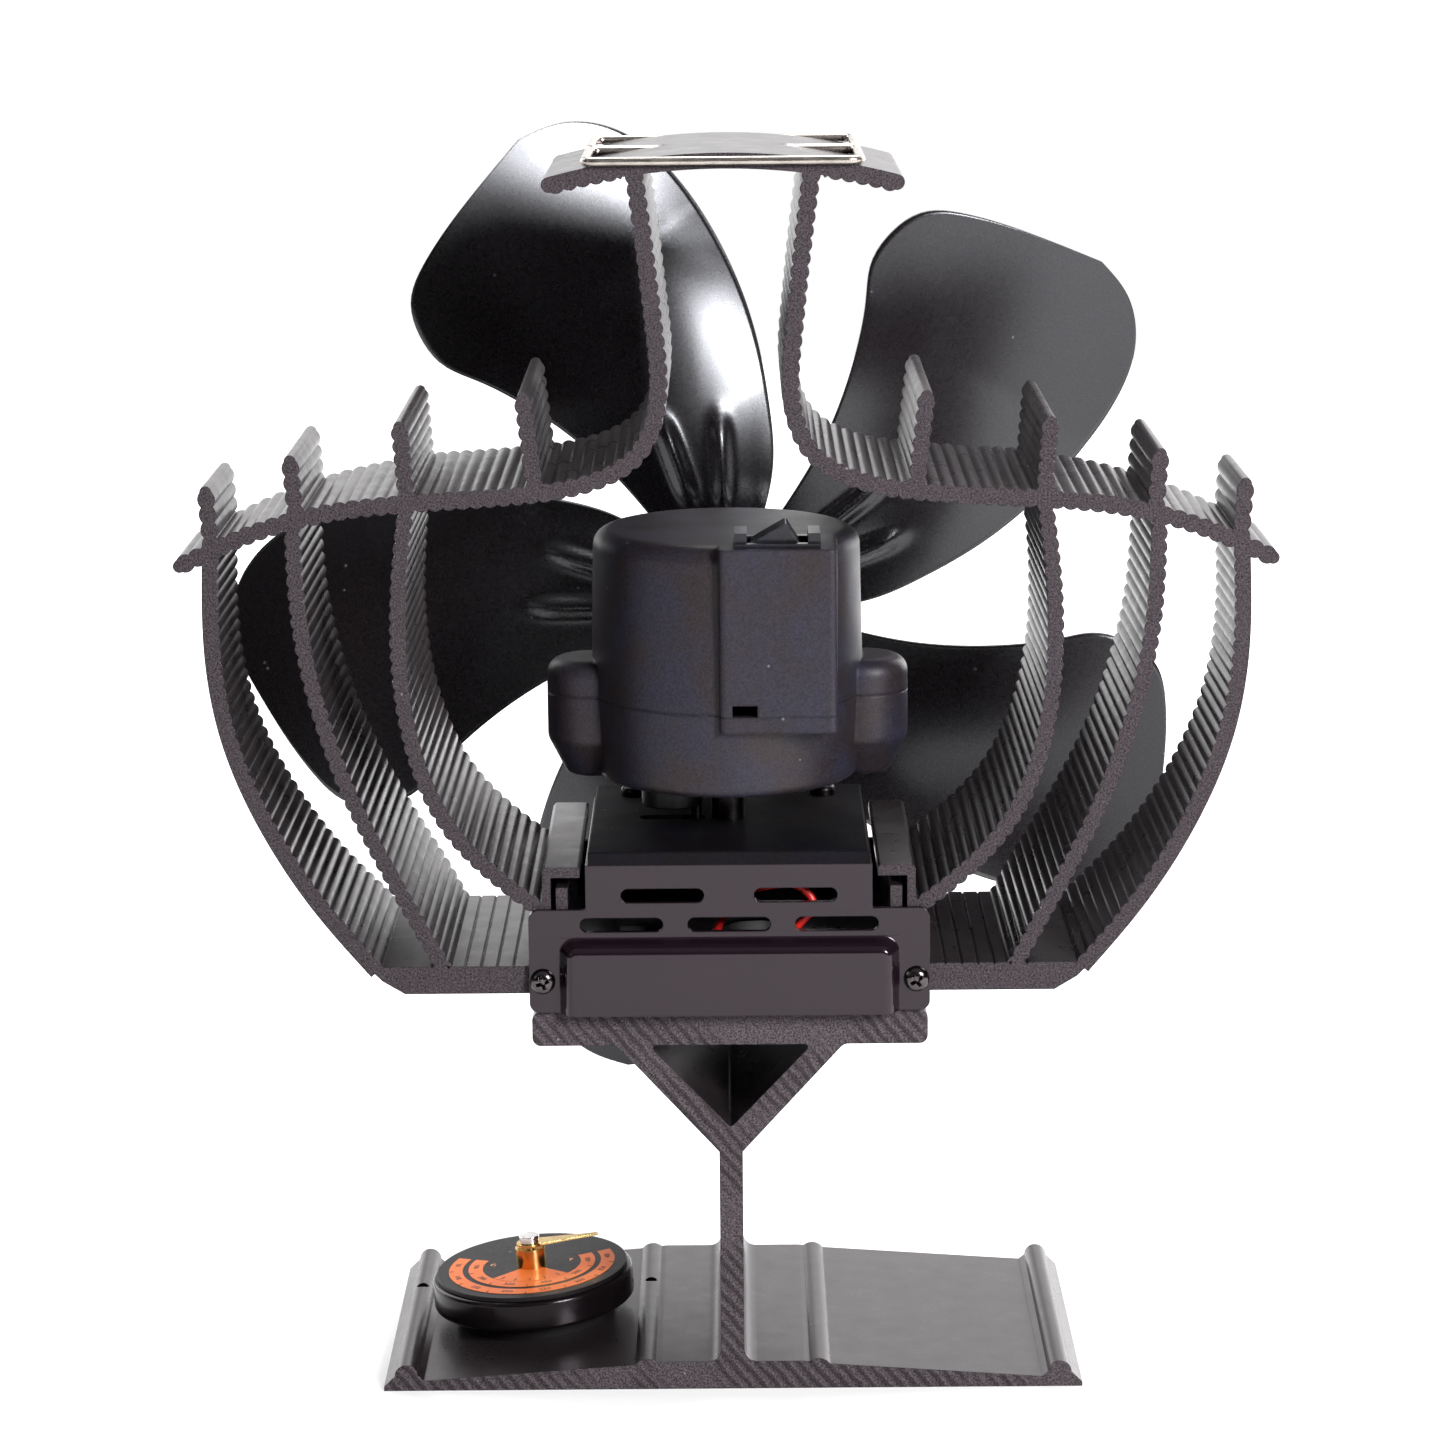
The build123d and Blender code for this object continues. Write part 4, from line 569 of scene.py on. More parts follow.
def band_outline(path, half, ribs, rib_from=0.0, round_start=False, round_end=False):
    """Outline of a fin with rounded ribs on the sides named in ribs."""
    ways = np.gradient(path, axis=0)
    ways /= np.linalg.norm(ways, axis=1)[:, None]
    lengths = np.concatenate([[0], np.cumsum(np.linalg.norm(np.diff(path, axis=0), axis=1))])
    shares = lengths / lengths[-1]
    count = max(2, round(lengths[-1] / RIB_PITCH))
    crests = RIB_HEIGHT * np.abs(np.sin(pi * shares * count)) ** RIB_FLATNESS
    sides = []
    for side in (1, -1):
        lift = np.where((shares >= rib_from) & (side in ribs), crests, 0.0)
        width = side * (half + lift)
        sides.append(np.stack([path[:, 0] - width * ways[:, 1], path[:, 1] + width * ways[:, 0]], axis=1))
    outline = list(sides[0])
    if round_end:
        outline += round_tip(path[-1], ways[-1], half)
    outline += list(sides[1][::-1])
    if round_start:
        outline += round_tip(path[0], ways[0], -half)
    return outline


def fin_outlines(bottom):
    """Outlines of the right side's fins, branch and stub fins."""

    def curve(shares):
        return path_along([(x * FIN_REACH, bottom + z * FIN_RISE) for x, z in shares])

    outlines = [
        band_outline(curve(OUTER_FIN), BAND_HALF + RIB_HEIGHT / 2, (-1,)),
        band_outline(curve(MIDDLE_FIN), BAND_HALF, (1, -1)),
        band_outline(curve(INNER_FIN), BAND_HALF, (1, -1)),
        band_outline(curve(BRANCH), BRANCH_HALF, (1, -1), round_start=True),
    ]
    for root_and_tip in zip(STUB_ROOTS, STUB_TIPS):
        outlines.append(band_outline(curve(root_and_tip), STUB_HALF, (1, -1), round_end=True))
    return outlines


def arch_outline():
    """Outline of the arch's right half, which reaches past the middle into the other."""
    sagitta = ARCH_CROWN_HEIGHT - ARCH_END_HEIGHT
    radius = (ARCH_HALF_SPAN**2 + sagitta**2) / (2 * sagitta)
    end_turn = atan2(ARCH_HALF_SPAN, radius - sagitta)
    arch = [(radius * sin(turn), ARCH_CROWN_HEIGHT - radius + radius * cos(turn))
            for turn in np.linspace(-ARCH_OVERREACH * end_turn, end_turn, ARCH_STEPS)]
    return band_outline(path_along(arch), ARCH_HALF, (-1,), rib_from=ARCH_RIBS_FROM, round_end=True)


def wall_outlines(foot):
    """Outlines of the right channel wall with its hook, and of the rib inside it."""
    wall_inner, hook_under = WALL_OUTER - WALL_THICKNESS, WALL_TOP - HOOK_THICKNESS
    wall = [(wall_inner, foot), (WALL_OUTER, foot), (WALL_OUTER, WALL_TOP - WALL_CHAMFER),
            (WALL_OUTER - WALL_CHAMFER, WALL_TOP), (HOOK_REACH + HOOK_CHAMFER, WALL_TOP),
            (HOOK_REACH, WALL_TOP - HOOK_CHAMFER), (HOOK_REACH, hook_under), (wall_inner, hook_under)]
    rib_inner = INNER_RIB_OUTER - INNER_RIB_THICKNESS
    rib = [(rib_inner, foot), (INNER_RIB_OUTER, foot), (INNER_RIB_OUTER, INNER_RIB_TOP),
           (rib_inner, INNER_RIB_TOP)]
    return [wall, rib]


def corner_cutters(low, high):
    """Blocks that slant off the radiator's two far corners."""
    back = CORNER_CUT_OVERRUN * (high.y - low.y)
    side_reach = CORNER_CUT_FROM + back / CORNER_CUT_SLOPE
    outline = [(CORNER_CUT_FROM, high.y), (side_reach, high.y - back),
               (side_reach, high.y + CORNER_MARGIN), (CORNER_CUT_FROM, high.y + CORNER_MARGIN)]
    height = high.z - low.z + 2 * CORNER_MARGIN
    return [slab(mirrored(outline, side), low.z - CORNER_MARGIN, height) for side in (1, -1)]


def plate_cutters(low, high, plate_top):
    """Cutters for the cold plate: the shallow grooves along it, and the leads' notch."""
    cutters = []
    for number in range(PLATE_GROOVES):
        spot = PLATE_GROOVE_FROM + number * PLATE_GROOVE_PITCH
        groove = [(spot - GROOVE_SIZE, plate_top + GROOVE_MARGIN), (spot, plate_top - GROOVE_SIZE),
                  (spot + GROOVE_SIZE, plate_top + GROOVE_MARGIN)]
        for side in (1, -1):
            cutters.append(prism(mirrored(groove, side), low.y - MARGIN, high.y + MARGIN))
    left, right, depth = LEAD_SLOT
    notch = [(left, low.z - MARGIN), (right, low.z - MARGIN),
             (right, plate_top + MARGIN), (left, plate_top + MARGIN)]
    cutters.append(prism(notch, low.y - MARGIN, low.y + depth))
    return cutters


def bore_cutters(middle):
    """Cylinders for the bails' cross bores in the arch."""
    cutters = []
    for y in (middle - BAIL_SPACING / 2, middle + BAIL_SPACING / 2):
        for side in (1, -1):
            ends = [(side * x, y, BAIL_SEAT_HEIGHT) for x in (BAIL_BORE_INNER, BAIL_BORE_OUTER)]
            cutters.append(tube_mesh(BAIL_BORE_RADIUS, *ends))
    return cutters


def make_radiator(materials):
    """The ribbed radiator, with rounded ribs where the solid has straight ones."""
    low, high = (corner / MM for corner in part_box("radiator"))
    plate_top = low.z + COLD_PLATE_THICKNESS
    plate = [(x, low.z + z) for x, z in COLD_PLATE_SIDE]
    base = prism(plate + mirrored(plate[::-1], -1), low.y, high.y)
    steps = []
    for outline in [*fin_outlines(low.z), arch_outline(), *wall_outlines(plate_top - MARGIN)]:
        for side in (1, -1):
            steps.append(("UNION", prism(mirrored(outline, side), low.y, high.y)))
    cutters = corner_cutters(low, high) + plate_cutters(low, high, plate_top)
    cutters += bore_cutters((low.y + high.y) / 2)
    steps += [("DIFFERENCE", cutter) for cutter in cutters]
    mesh = combined("radiator_build", base, steps)
    smooth(mesh, RADIATOR_SHARP_ANGLE)
    object_from("radiator_ribbed", mesh, materials["black_anodised"], "stand",
                ("radiator",))


# Fan blades. The edges are the topmost blade's, as (share of the reach, angle) about the hub.
BLADE_REACH = 98.1
BLADE_AXIS = 127.4
BLADE_COUNT = 5
BLADE_SHEET = 0.8
BLADE_CAMBER = 7.0
BLADE_CHORD = 112.0
# The blade's pitch at stations along its reach
BLADE_STATIONS = [0.08, 0.3, 0.65, 1.05]
BLADE_PITCHES = [-4.9, -6.0, -12.1, -11.3]
BLADE_LEADING = [
    (0.155, 66.3), (0.278, 70.7), (0.4, 77.8), (0.496, 82.2), (0.6, 86.6),
    (0.69, 90.4), (0.776, 94.0), (0.866, 98.0), (0.945, 102.6), (0.993, 108.8),
    (0.995, 113.8),
]
BLADE_TRAILING = [
    (0.155, 132.6), (0.37, 131.1), (0.48, 133.0), (0.59, 135.5), (0.665, 137.5),
    (0.73, 139.0), (0.795, 138.2), (0.862, 135.3), (0.897, 130.6), (0.944, 121.5),
    (0.995, 113.8),
]
BLADE_ROWS = 90
BLADE_COLUMNS = 56
ROWS_EASED = 0.6
EDGE_FINENESS = 12
# Rounds that find a point's place along the cambered chord
CHORD_ROUNDS = 4
WELD_DISTANCE = 0.01
HUB_DISC_RADIUS = 15.0
HUB_DISC_SIDES = 96
# Where the blades begin to lean out of the hub's plane, and over what width, in hub disc radii
ROOT_FADE = (0.8, 0.9)
# Angle of each pressed flute from the blade's axis, and its middle's distance from the hub
FLUTES = [(-18.1, 29.5), (-35.6, 27.0)]
FLUTE_LENGTH = 8.5
FLUTE_WIDTH = 1.6
FLUTE_DEPTH = 2.1
EDGE_BEND = 1.2
EDGE_BEND_WIDTH = 14.0
EDGE_BEND_FADES = [0.7, 0.92]


def flute_rise(reach, turn):
    """How far the pressed flutes raise a point of the blade, at a reach and turn about the hub."""
    rise = 0.0
    for angle, middle in FLUTES:
        off = reach * sin(radians(turn - angle)) / FLUTE_WIDTH
        far = (reach * cos(radians(turn - angle)) - middle) / FLUTE_LENGTH
        rise += FLUTE_DEPTH * np.exp(-off * off - far**4)
    return rise


def blade_lift(along, across):
    """How far a point of the blade stands off the hub's plane, towards the radiator."""
    pitch = radians(np.interp(along / BLADE_REACH, BLADE_STATIONS, BLADE_PITCHES))
    chord = across
    for _ in range(CHORD_ROUNDS):
        camber = BLADE_CAMBER * (2 * chord / BLADE_CHORD) ** 2
        chord = (across - camber * sin(pitch)) / cos(pitch)
    lift = chord * sin(pitch) - BLADE_CAMBER * (2 * chord / BLADE_CHORD) ** 2 * cos(pitch)
    reach = hypot(along, across)
    lift += flute_rise(reach, -degrees(atan2(across, along)))
    start, width = ROOT_FADE
    rooted = np.clip((reach / HUB_DISC_RADIUS - start) / width, 0, 1)
    return lift * rooted * rooted * (3 - 2 * rooted)


def edge_bend(from_edge, reach):
    """How far the leading edge's strip bends back, fading towards the blade's tip."""
    bend = EDGE_BEND * max(0.0, 1 - from_edge / EDGE_BEND_WIDTH) ** 2
    return bend * np.interp(reach / BLADE_REACH, EDGE_BEND_FADES, [1, 0])


def blade_edge(points):
    """Points along one edge of a blade, a little closer together at both ends."""
    flat = [(r * BLADE_REACH * cos(radians(a)), r * BLADE_REACH * sin(radians(a))) for r, a in points]
    eased = (1 - np.cos(np.linspace(0, pi, BLADE_ROWS))) / 2
    shares = ROWS_EASED * eased + (1 - ROWS_EASED) * np.linspace(0, 1, BLADE_ROWS)
    fine = spline_points(flat, EDGE_FINENESS * BLADE_ROWS)
    return fine[np.clip((shares * (len(fine) - 1)).round().astype(int), 0, len(fine) - 1)]


def blade_grid():
    """Rows of (x, z, lift) across the topmost blade, about the hub."""
    axis = radians(BLADE_AXIS)
    out, side = Vector((cos(axis), sin(axis))), Vector((sin(axis), -cos(axis)))
    grid = []
    for start, end in zip(blade_edge(BLADE_LEADING), blade_edge(BLADE_TRAILING)):
        line = []
        for column in range(BLADE_COLUMNS):
            flat = Vector(start).lerp(Vector(end), column / (BLADE_COLUMNS - 1))
            bend = edge_bend((flat - Vector(start)).length, flat.length)
            line.append((flat.x, flat.y, blade_lift(flat.dot(out), flat.dot(side)) - bend))
        grid.append(line)
    return grid


def blade_mesh(name, grid, turn, hub):
    """One blade's sheet, the topmost one's turned about the hub."""
    model = bmesh.new()
    rows = []
    for line in grid:
        rows.append([model.verts.new(((x * cos(turn) - y * sin(turn) + hub.x) * MM, (hub.y - lift) * MM,
                                      (x * sin(turn) + y * cos(turn) + hub.z) * MM))
                     for x, y, lift in line])
    for above, below in zip(rows, rows[1:]):
        for column in range(BLADE_COLUMNS - 1):
            model.faces.new((above[column], above[column + 1], below[column + 1], below[column]))
    bmesh.ops.remove_doubles(model, verts=model.verts, dist=WELD_DISTANCE * MM)
    mesh = mesh_from(model, name)
    mesh.shade_smooth()
    return mesh


def make_blades(materials):
    """The five pressed blades as one sheet each, and their hub disc."""
    low, high = (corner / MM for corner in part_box("fan_hub"))
    hub = Vector((0, high.y + BLADE_SHEET / 2, (low.z + high.z) / 2))
    grid = blade_grid()
    for number in range(BLADE_COUNT):
        name = f"blade_{number + 1}"
        mesh = blade_mesh(name, grid, 2 * pi * number / BLADE_COUNT, hub)
        replaced = ("blade_spider",) if number == 0 else ()
        blade = object_from(name, mesh, materials["blade_black"], "rotor", replaced)
        thick = blade.modifiers.new("thickness", "SOLIDIFY")
        thick.thickness = BLADE_SHEET * MM
        thick.offset = 0
    rim = [(HUB_DISC_RADIUS * cos(turn), HUB_DISC_RADIUS * sin(turn) + hub.z)
           for turn in np.linspace(0, 2 * pi, HUB_DISC_SIDES, endpoint=False)]
    disc = prism(rim, hub.y - BLADE_SHEET / 2, hub.y + BLADE_SHEET / 2)
    smooth(disc)
    object_from("blade_hub_disc", disc, materials["blade_black"], "rotor")


# Vented cover, with its pressed pocket
COVER_SHEET = 1.2
COVER_HALF = 35.6
COVER_SHOULDER = 90.3
COVER_CORNER = 1.8
COVER_SHARP_ANGLE = 32.0
NECK_HALF = 25.4
NECK_CORNER = 0.05
DECK_CORNER = 0.02
VENTS = [(-11.8, 92.8), (11.8, 92.8), (-19.1, 87.5), (0.0, 87.5), (19.1, 87.5)]
VENT_HALF_LENGTH = 7.4
VENT_HALF_HEIGHT = 1.3
VENT_CORNER = 1.29
POCKET_HALF = 30.2
POCKET_TOP = 85.2
POCKET_SLOPE = 2.6
POCKET_PROUD = 3.0
POCKET_CORNER = 3.2
POCKET_LAP = 0.02
POCKET_COLUMNS = 242
POCKET_ROWS = 62
# Powers of the curve from the pocket's soft foot to its rounded front edge
POCKET_FRONT_POWER = 2.6
POCKET_FOOT_POWER = 1.6


def rounded_box(half, low, high, corner, steps=8):
    """Outline of an upright rectangle with rounded corners."""
    outline = []
    for x, z, start in ((half, high, 0), (-half, high, 90), (-half, low, 180), (half, low, 270)):
        middle_x = x - corner if x > 0 else x + corner
        middle_z = z - corner if z > (low + high) / 2 else z + corner
        for step in range(steps + 1):
            turn = radians(start + 90 * step / steps)
            outline.append((middle_x + corner * cos(turn), middle_z + corner * sin(turn)))
    return outline


def pocket_rise(x, z):
    """How far the pocket stands proud of the sheet at a point."""
    from_side, from_top = POCKET_HALF - abs(x), POCKET_TOP - z
    inset = min(from_side, from_top)
    if from_side < POCKET_CORNER and from_top < POCKET_CORNER:
        inset = POCKET_CORNER - hypot(POCKET_CORNER - from_side, POCKET_CORNER - from_top)
    share = min(max(inset / POCKET_SLOPE, 0.0), 1.0)
    return POCKET_PROUD * (1 - (1 - share) ** POCKET_FRONT_POWER) ** POCKET_FOOT_POWER


def pocket_mesh(face, bottom):
    """The pressed pocket as a closed cushion: soft foot, sloping sides and rounded front edges."""
    xs = np.linspace(-POCKET_HALF, POCKET_HALF, POCKET_COLUMNS)
    zs = np.linspace(bottom, POCKET_TOP, POCKET_ROWS)
    model = bmesh.new()
    fronts, backs = [], []
    for z in zs:
        fronts.append([model.verts.new((x * MM, (face - POCKET_LAP - pocket_rise(x, z)) * MM, z * MM))
                       for x in xs])
        backs.append([model.verts.new((x * MM, (face + COVER_SHEET / 2) * MM, z * MM)) for x in xs])
    for lines, flip in ((fronts, False), (backs, True)):
        for low, high in zip(lines, lines[1:]):
            for index in range(len(xs) - 1):
                corners = (low[index], low[index + 1], high[index + 1], high[index])
                model.faces.new(corners[::-1] if flip else corners)
    rim = [(row, 0) for row in range(len(zs))] + [(len(zs) - 1, column) for column in range(1, len(xs))]
    rim += [(row, len(xs) - 1) for row in range(len(zs) - 2, -1, -1)]
    rim += [(0, column) for column in range(len(xs) - 2, 0, -1)]
    for (row, column), (after_row, after_column) in zip(rim, rim[1:] + rim[:1]):
        model.faces.new((fronts[row][column], fronts[after_row][after_column],
                         backs[after_row][after_column], backs[row][column]))
    return mesh_from(model, "pocket")


def make_cover(materials):
    """The cover with its vents, with softer pressed edges than the solid has."""
    low, high = (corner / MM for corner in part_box("electronics_cover"))
    face = low.y + POCKET_PROUD
    wall = rounded_box(COVER_HALF, low.z, COVER_SHOULDER, COVER_CORNER)
    neck = rounded_box(NECK_HALF, low.z + COVER_CORNER, high.z, NECK_CORNER, 1)
    deck = rounded_box(NECK_HALF, high.z - COVER_SHEET, high.z, DECK_CORNER, 1)
    base = prism(wall, face, face + COVER_SHEET)
    steps = [("UNION", prism(neck, face, face + COVER_SHEET)),
             ("UNION", prism(deck, face, high.y)),
             ("UNION", prism(wall, high.y - COVER_SHEET, high.y)),
             ("UNION", prism(neck, high.y - COVER_SHEET, high.y))]
    vent = rounded_box(VENT_HALF_LENGTH, -VENT_HALF_HEIGHT, VENT_HALF_HEIGHT, VENT_CORNER)
    for x, z in VENTS:
        slot = [(x + spot, z + rise) for spot, rise in vent]
        steps.append(("DIFFERENCE", prism(slot, low.y - MARGIN, high.y + MARGIN)))
    steps.append(("UNION", pocket_mesh(face, low.z)))
    mesh = combined("cover_build", base, steps)
    smooth(mesh, COVER_SHARP_ANGLE)
    object_from("cover_pressed", mesh, materials["bracket_black"], "stand",
                ("electronics_cover",))


# Cover screws: the profile is (radius, height over the seat). Each screw's recess has its own turn,
# by the screw's side and the way that its head looks.
COVER_SCREW_X = 33.2
SCREW_PROFILE = [(0.0, 1.62), (0.8, 1.57), (1.4, 1.42), (1.85, 1.15), (2.12, 0.82), (2.25, 0.45),
                 (2.3, 0.0), (1.5, 0.0), (1.5, -6.4), (1.1, -7.0), (0.0, -7.0)]
SCREW_SIDES = 40
SCREW_SHARP_ANGLE = 40.0
RECESS_TURNS = {(-1, -1): 20, (1, -1): 33, (-1, 1): 5, (1, 1): 62}
# Height, half length and half width of one arm of the cross, above the head and at its foot
RECESS_ENDS = [(1.9, 1.55, 0.36), (0.35, 0.5, 0.24)]


def screw_mesh():
    """A screw turned from its profile, its head upwards."""
    model = bmesh.new()
    rings = []
    for radius, rise in SCREW_PROFILE:
        sides = SCREW_SIDES if radius else 1
        rings.append([model.verts.new((radius * MM * cos(2 * pi * step / SCREW_SIDES),
                                       radius * MM * sin(2 * pi * step / SCREW_SIDES), rise * MM))
                      for step in range(sides)])
    for first, second in zip(rings, rings[1:]):
        for step in range(SCREW_SIDES):
            after = (step + 1) % SCREW_SIDES
            corners = [first[step % len(first)], first[after % len(first)],
                       second[after % len(second)], second[step % len(second)]]
            model.faces.new(list(dict.fromkeys(corners)))
    return mesh_from(model, "screw")


def recess_mesh(turn):
    """One arm of a cross recess, narrower at its foot."""
    model = bmesh.new()
    long_way = Matrix.Rotation(radians(turn), 4, "Z")
    corners = []
    for rise, length, width in RECESS_ENDS:
        for x, y in ((-length, -width), (length, -width), (length, width), (-length, width)):
            corners.append(model.verts.new(long_way @ Vector((x * MM, y * MM, rise * MM))))
    bmesh.ops.convex_hull(model, input=corners)
    return mesh_from(model, "recess")


def pan_screw(spot, way, turn):
    """A pan-head screw with a cross recess, its seat at the spot and its head along Y."""
    arms = [("DIFFERENCE", recess_mesh(turn + quarter)) for quarter in (0, 90)]
    mesh = combined("screw_build", screw_mesh(), arms)
    lie = Matrix(((1, 0, 0), (0, 0, way), (0, -way, 0))).to_4x4()
    mesh.transform(Matrix.Translation(Vector(spot) * MM) @ lie)
    return mesh


def joined(meshes, name):
    """Several meshes as one."""
    model = bmesh.new()
    for mesh in meshes:
        model.from_mesh(mesh)
    return mesh_from(model, name, outward=False)


def make_cover_screws(materials):
    """The cover's four pan-head screws."""
    low, high = (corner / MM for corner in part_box("cover_screws"))
    cover_low, cover_high = (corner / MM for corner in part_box("electronics_cover"))
    seats = {-1: cover_low.y + POCKET_PROUD, 1: cover_high.y}
    screws = [pan_screw((side * COVER_SCREW_X, seats[way], (low.z + high.z) / 2), way, turn)
              for (side, way), turn in RECESS_TURNS.items()]
    mesh = joined(screws, "cover_screw_heads")
    smooth(mesh, SCREW_SHARP_ANGLE)
    object_from("cover_pan_screws", mesh, materials["screw_steel"], "stand",
                ("cover_screws",))


# Thermometer: the base plate's slope under it, and the print on its dial
PLATE_RISE = 2.7
PLATE_RUN = 38.0
# Inner and outer radius, start and end angle, divisions, and the step between their numbers
DIAL_BANDS = [(13.1, 15.7, 154.5, 382.0, 8, 50), (9.3, 12.0, 154.5, 382.0, 6, 100)]
NUMBER_SIZE = 1.5
# A band's division mark: how far its two ends lie inside the band's edge, and half its width
BAND_MARK = (0.9, 0.1, 0.35)
# The fan-shaped zone: radius, start and end angle. Its marks: inner and outer radius, half width.
DIAL_FAN = (9.2, 221.0, 319.0)
FAN_MARKS = 5
FAN_MARK = (7.6, 8.7, 0.7)
UNITS = {"C": (-7.4, 1.4), "F": (7.4, 1.4)}
UNIT_SIZE = 1.7
PRINT_LIFT = 0.03
PRINT_THICKNESS = 0.04
OVERPRINT_LIFT = 0.08
LETTER_FINENESS = 3
SECTOR_STEP = 2.0
SECTOR_STEPS_LEAST = 8


def gauge_matrix():
    """The dial's own frame: its middle on top of the dial, Z along the spindle."""
    tilt = atan2(PLATE_RISE, PLATE_RUN)
    points = [corner.co for corner in nodes["gauge_dial"].data.vertices]
    normal = Vector((-sin(tilt), 0, cos(tilt)))
    across = Vector((cos(tilt), 0, sin(tilt)))
    level = max(point.dot(normal) for point in points)
    spot = across * ((max(p.dot(across) for p in points) + min(p.dot(across) for p in points)) / 2)
    spot += normal * level
    turn = Matrix((across, Vector((0, 1, 0)), normal)).transposed().to_4x4()
    return Matrix.Translation(spot) @ turn


def sector(inner, outer, start, end, place, lift=PRINT_LIFT):
    """A thin plate in the form of a ring's sector, lying on the dial."""
    steps = max(SECTOR_STEPS_LEAST, round((end - start) / SECTOR_STEP))
    angles = [radians(start + (end - start) * step / steps) for step in range(steps + 1)]
    outline = [(outer * cos(a), outer * sin(a)) for a in angles]
    outline += [(inner * cos(a), inner * sin(a)) for a in angles[::-1]] if inner else [(0, 0)]
    mesh = slab(outline, lift, PRINT_THICKNESS)
    mesh.transform(place)
    return mesh


def lettering(text, size, spot, turn, place, lift):
    """Text as a thin mesh lying on the dial, centred on a spot."""
    curve = bpy.data.curves.new("text", "FONT")
    curve.body = text
    curve.size = size * MM
    curve.align_x = "CENTER"
    curve.align_y = "CENTER"
    curve.extrude = PRINT_THICKNESS / 2 * MM
    curve.resolution_u = LETTER_FINENESS
    holder = new_object("text", curve)
    mesh = evaluated_mesh(holder)
    bpy.data.objects.remove(holder)
    mesh.transform(place @ Matrix.Translation(Vector((*spot, lift)) * MM) @ Matrix.Rotation(turn, 4, "Z"))
    return mesh


def band_marks(place):
    """The numbers and division marks printed over the scale bands."""
    marks = []
    mark_inner, mark_outer, half_mark = BAND_MARK
    for inner, outer, start, end, divisions, number_step in DIAL_BANDS:
        middle = (inner + outer) / 2
        for step in range(divisions):
            angle = radians(start + (end - start) * (step + 0.5) / divisions)
            spot = (middle * cos(angle), middle * sin(angle))
            number = str(number_step * (step + 1))
            marks.append(lettering(number, NUMBER_SIZE, spot, angle + pi / 2, place, OVERPRINT_LIFT))
            edge = start + (end - start) * step / divisions
            if step:
                marks.append(sector(outer - mark_inner, outer - mark_outer, edge - half_mark,
                                    edge + half_mark, place, OVERPRINT_LIFT))
    return marks


def fan_marks(place):
    """The marks printed over the fan-shaped zone."""
    _, start, end = DIAL_FAN
    inner, outer, half_mark = FAN_MARK
    angles = [start + (end - start) * (step + 0.5) / FAN_MARKS for step in range(FAN_MARKS)]
    return [sector(inner, outer, angle - half_mark, angle + half_mark, place, OVERPRINT_LIFT)
            for angle in angles]


def make_dial_print(materials):
    """Orange scale bands with plain numbers, and a fan-shaped zone between them."""
    place = gauge_matrix()
    bands = [sector(inner, outer, start, end, place) for inner, outer, start, end, _, _ in DIAL_BANDS]
    bands.append(sector(0, *DIAL_FAN, place))
    marks = band_marks(place) + fan_marks(place)
    units = [lettering(text, UNIT_SIZE, spot, 0, place, PRINT_LIFT) for text, spot in UNITS.items()]
    object_from("dial_bands", joined(bands, "dial_bands"), materials["dial_orange"], "stand")
    object_from("dial_numbers", joined(marks, "dial_numbers"), materials["dial_ink"], "stand")
    object_from("dial_units", joined(units, "dial_units"), materials["dial_text"], "stand")


# Lamps, in metres: a softbox right of the camera, one above, a weak fill and two from the rear
LIGHTS = [
    # name, place, aim, width and height, watts
    ("softbox", (0.57, -0.82, 0.55), (0, 0.05, 0.19), (0.27, 0.32), 19.0),
    ("top", (0.05, 0.35, 1.0), (0, 0.0, 0.16), (0.9, 0.6), 10.0),
    ("fill", (-0.9, -0.55, 0.55), (0, 0, 0.12), (0.4, 0.4), 0.4),
    ("rear_left", (-0.75, 0.75, 0.6), (0, 0, 0.15), (0.6, 0.8), 5.0),
    ("rear_right", (0.78, 0.8, 0.45), (0, 0, 0.15), (0.6, 0.9), 13.0),
]
# The world's light by the way it comes from. Each ramp is (from, to, value there, value there) along
# one axis: a backdrop behind the object, dimmer high on the left, and a faint light from above.
WORLD_BACKDROP_Y = (-0.05, 0.6, 0.0, 1.0)
WORLD_BACKDROP_X = (-0.8, 0.8, 1.6, 1.4)
WORLD_CEILING_Z = (0.35, 0.95, 0.02, 0.3)
WORLD_DIM_X = (-0.25, 0.05, 0.35, 1.0)
WORLD_DIM_Z = (0.14, 0.3, 0.0, 1.0)
# The floor, in metres. To the camera it glows more and more with the distance from its middle.
FLOOR_RADIUS = 1.5
FLOOR_SIDES = 96
FLOOR_GLOW = (0.25, 0.9, 0.4, 1.0)
FLOOR_TONES = [(0.56, 0.56, 0.56), (0.6, 0.6, 0.6)]


def make_lights():
    """Soft studio lights."""
    for name, place, aim, size, power in LIGHTS:
        lamp = bpy.data.lights.new(name, "AREA")
        lamp.shape = "RECTANGLE"
        lamp.size, lamp.size_y = size
        lamp.energy = power
        holder = new_object(name, lamp)
        holder.location = place
        holder.rotation_euler = (Vector(aim) - Vector(place)).to_track_quat("-Z", "Y").to_euler()


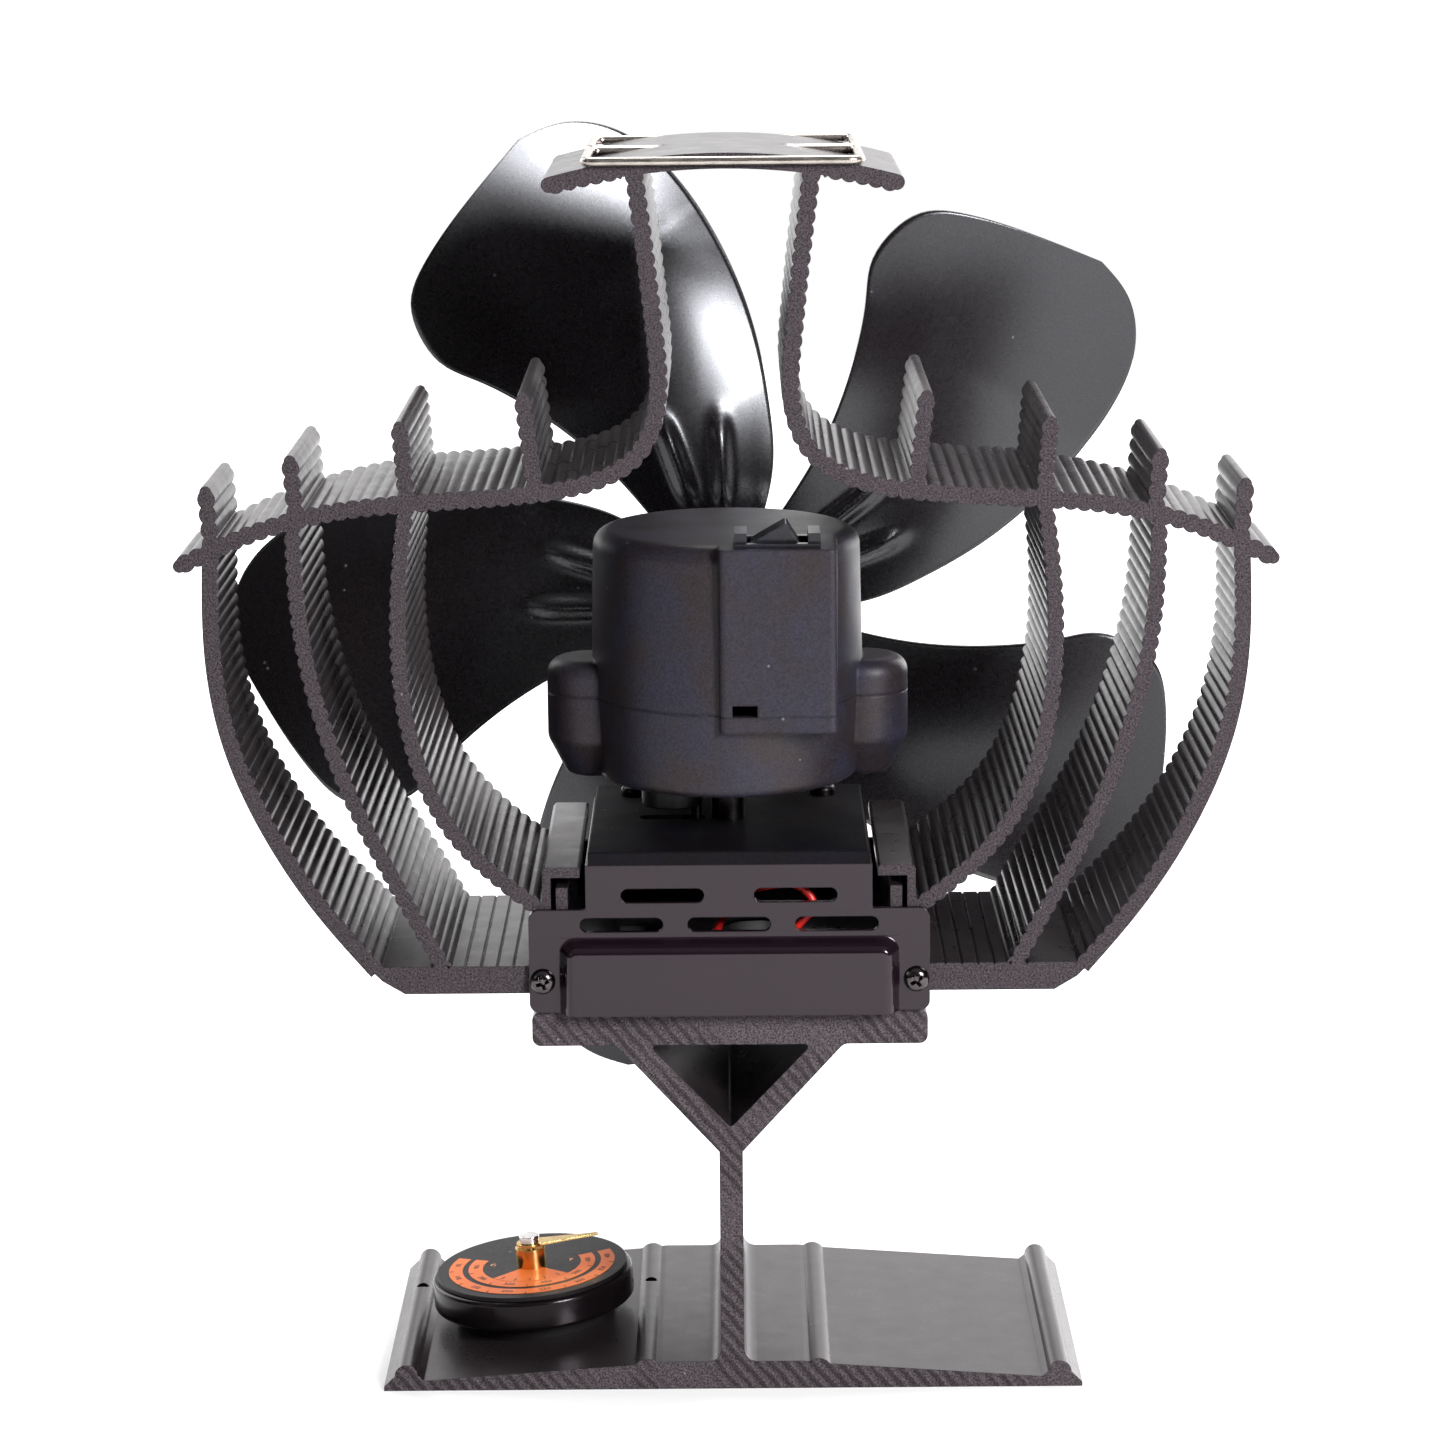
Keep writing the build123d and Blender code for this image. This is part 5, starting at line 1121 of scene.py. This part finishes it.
def make_world():
    """A world that is bright behind and above the object, and plain white to the camera."""
    world = bpy.data.worlds.new("world")
    bpy.context.scene.world = world
    world.use_nodes = True
    wiring = Wiring(world.node_tree)
    way = wiring.node("TexCoord", {}).outputs["Generated"]
    parts = wiring.node("SeparateXYZ", {0: way}).outputs

    def ramp(axis, ends):
        return wiring.spread(parts[axis], *ends, interpolation_type="SMOOTHSTEP")

    dim = wiring.between(ramp("Z", WORLD_DIM_Z), 1.0, ramp("X", WORLD_DIM_X))
    sideways = wiring.maths("MULTIPLY", ramp("X", WORLD_BACKDROP_X), dim)
    backdrop = wiring.maths("MULTIPLY", ramp("Y", WORLD_BACKDROP_Y), sideways)
    lit = wiring.maths("ADD", backdrop, ramp("Z", WORLD_CEILING_Z))
    seen = wiring.node("LightPath", {}).outputs["Is Camera Ray"]
    background = wiring.tree.nodes["Background"]
    wiring.feed(background.inputs["Strength"], wiring.between(seen, lit, 1.0))
    background.inputs["Color"].default_value = (1, 1, 1, 1)


def make_floor():
    """A plain pale floor, as a disc that fades into the white background."""
    model = bmesh.new()
    bmesh.ops.create_circle(model, cap_ends=True, segments=FLOOR_SIDES, radius=FLOOR_RADIUS)
    mesh = mesh_from(model, "floor", outward=False)
    finish = Finish("floor_pale", Roughness=0.85)
    finish.set("Base_Color", finish.mix(finish.noise(400.0, 2), *FLOOR_TONES))
    path = finish.node("LightPath", {})
    seen = finish.maths("MAXIMUM", path.outputs["Is Camera Ray"], path.outputs["Is Glossy Ray"])
    reach = finish.node("VectorMath", {0: finish.place}, operation="LENGTH").outputs["Value"]
    glow = finish.spread(reach, *FLOOR_GLOW)
    finish.set("Emission_Color", (1.0, 1.0, 1.0))
    finish.set("Emission_Strength", finish.maths("MULTIPLY", seen, glow))
    mesh.materials.append(finish.material)
    floor = new_object("floor", mesh)


make_camera()
make_lights()
make_world()
make_floor()
finishes = make_materials()
dress_nodes(finishes)
make_radiator(finishes)
make_blades(finishes)
make_cover(finishes)
make_cover_screws(finishes)
make_dial_print(finishes)
bpy.context.scene.view_settings.view_transform = "Standard"
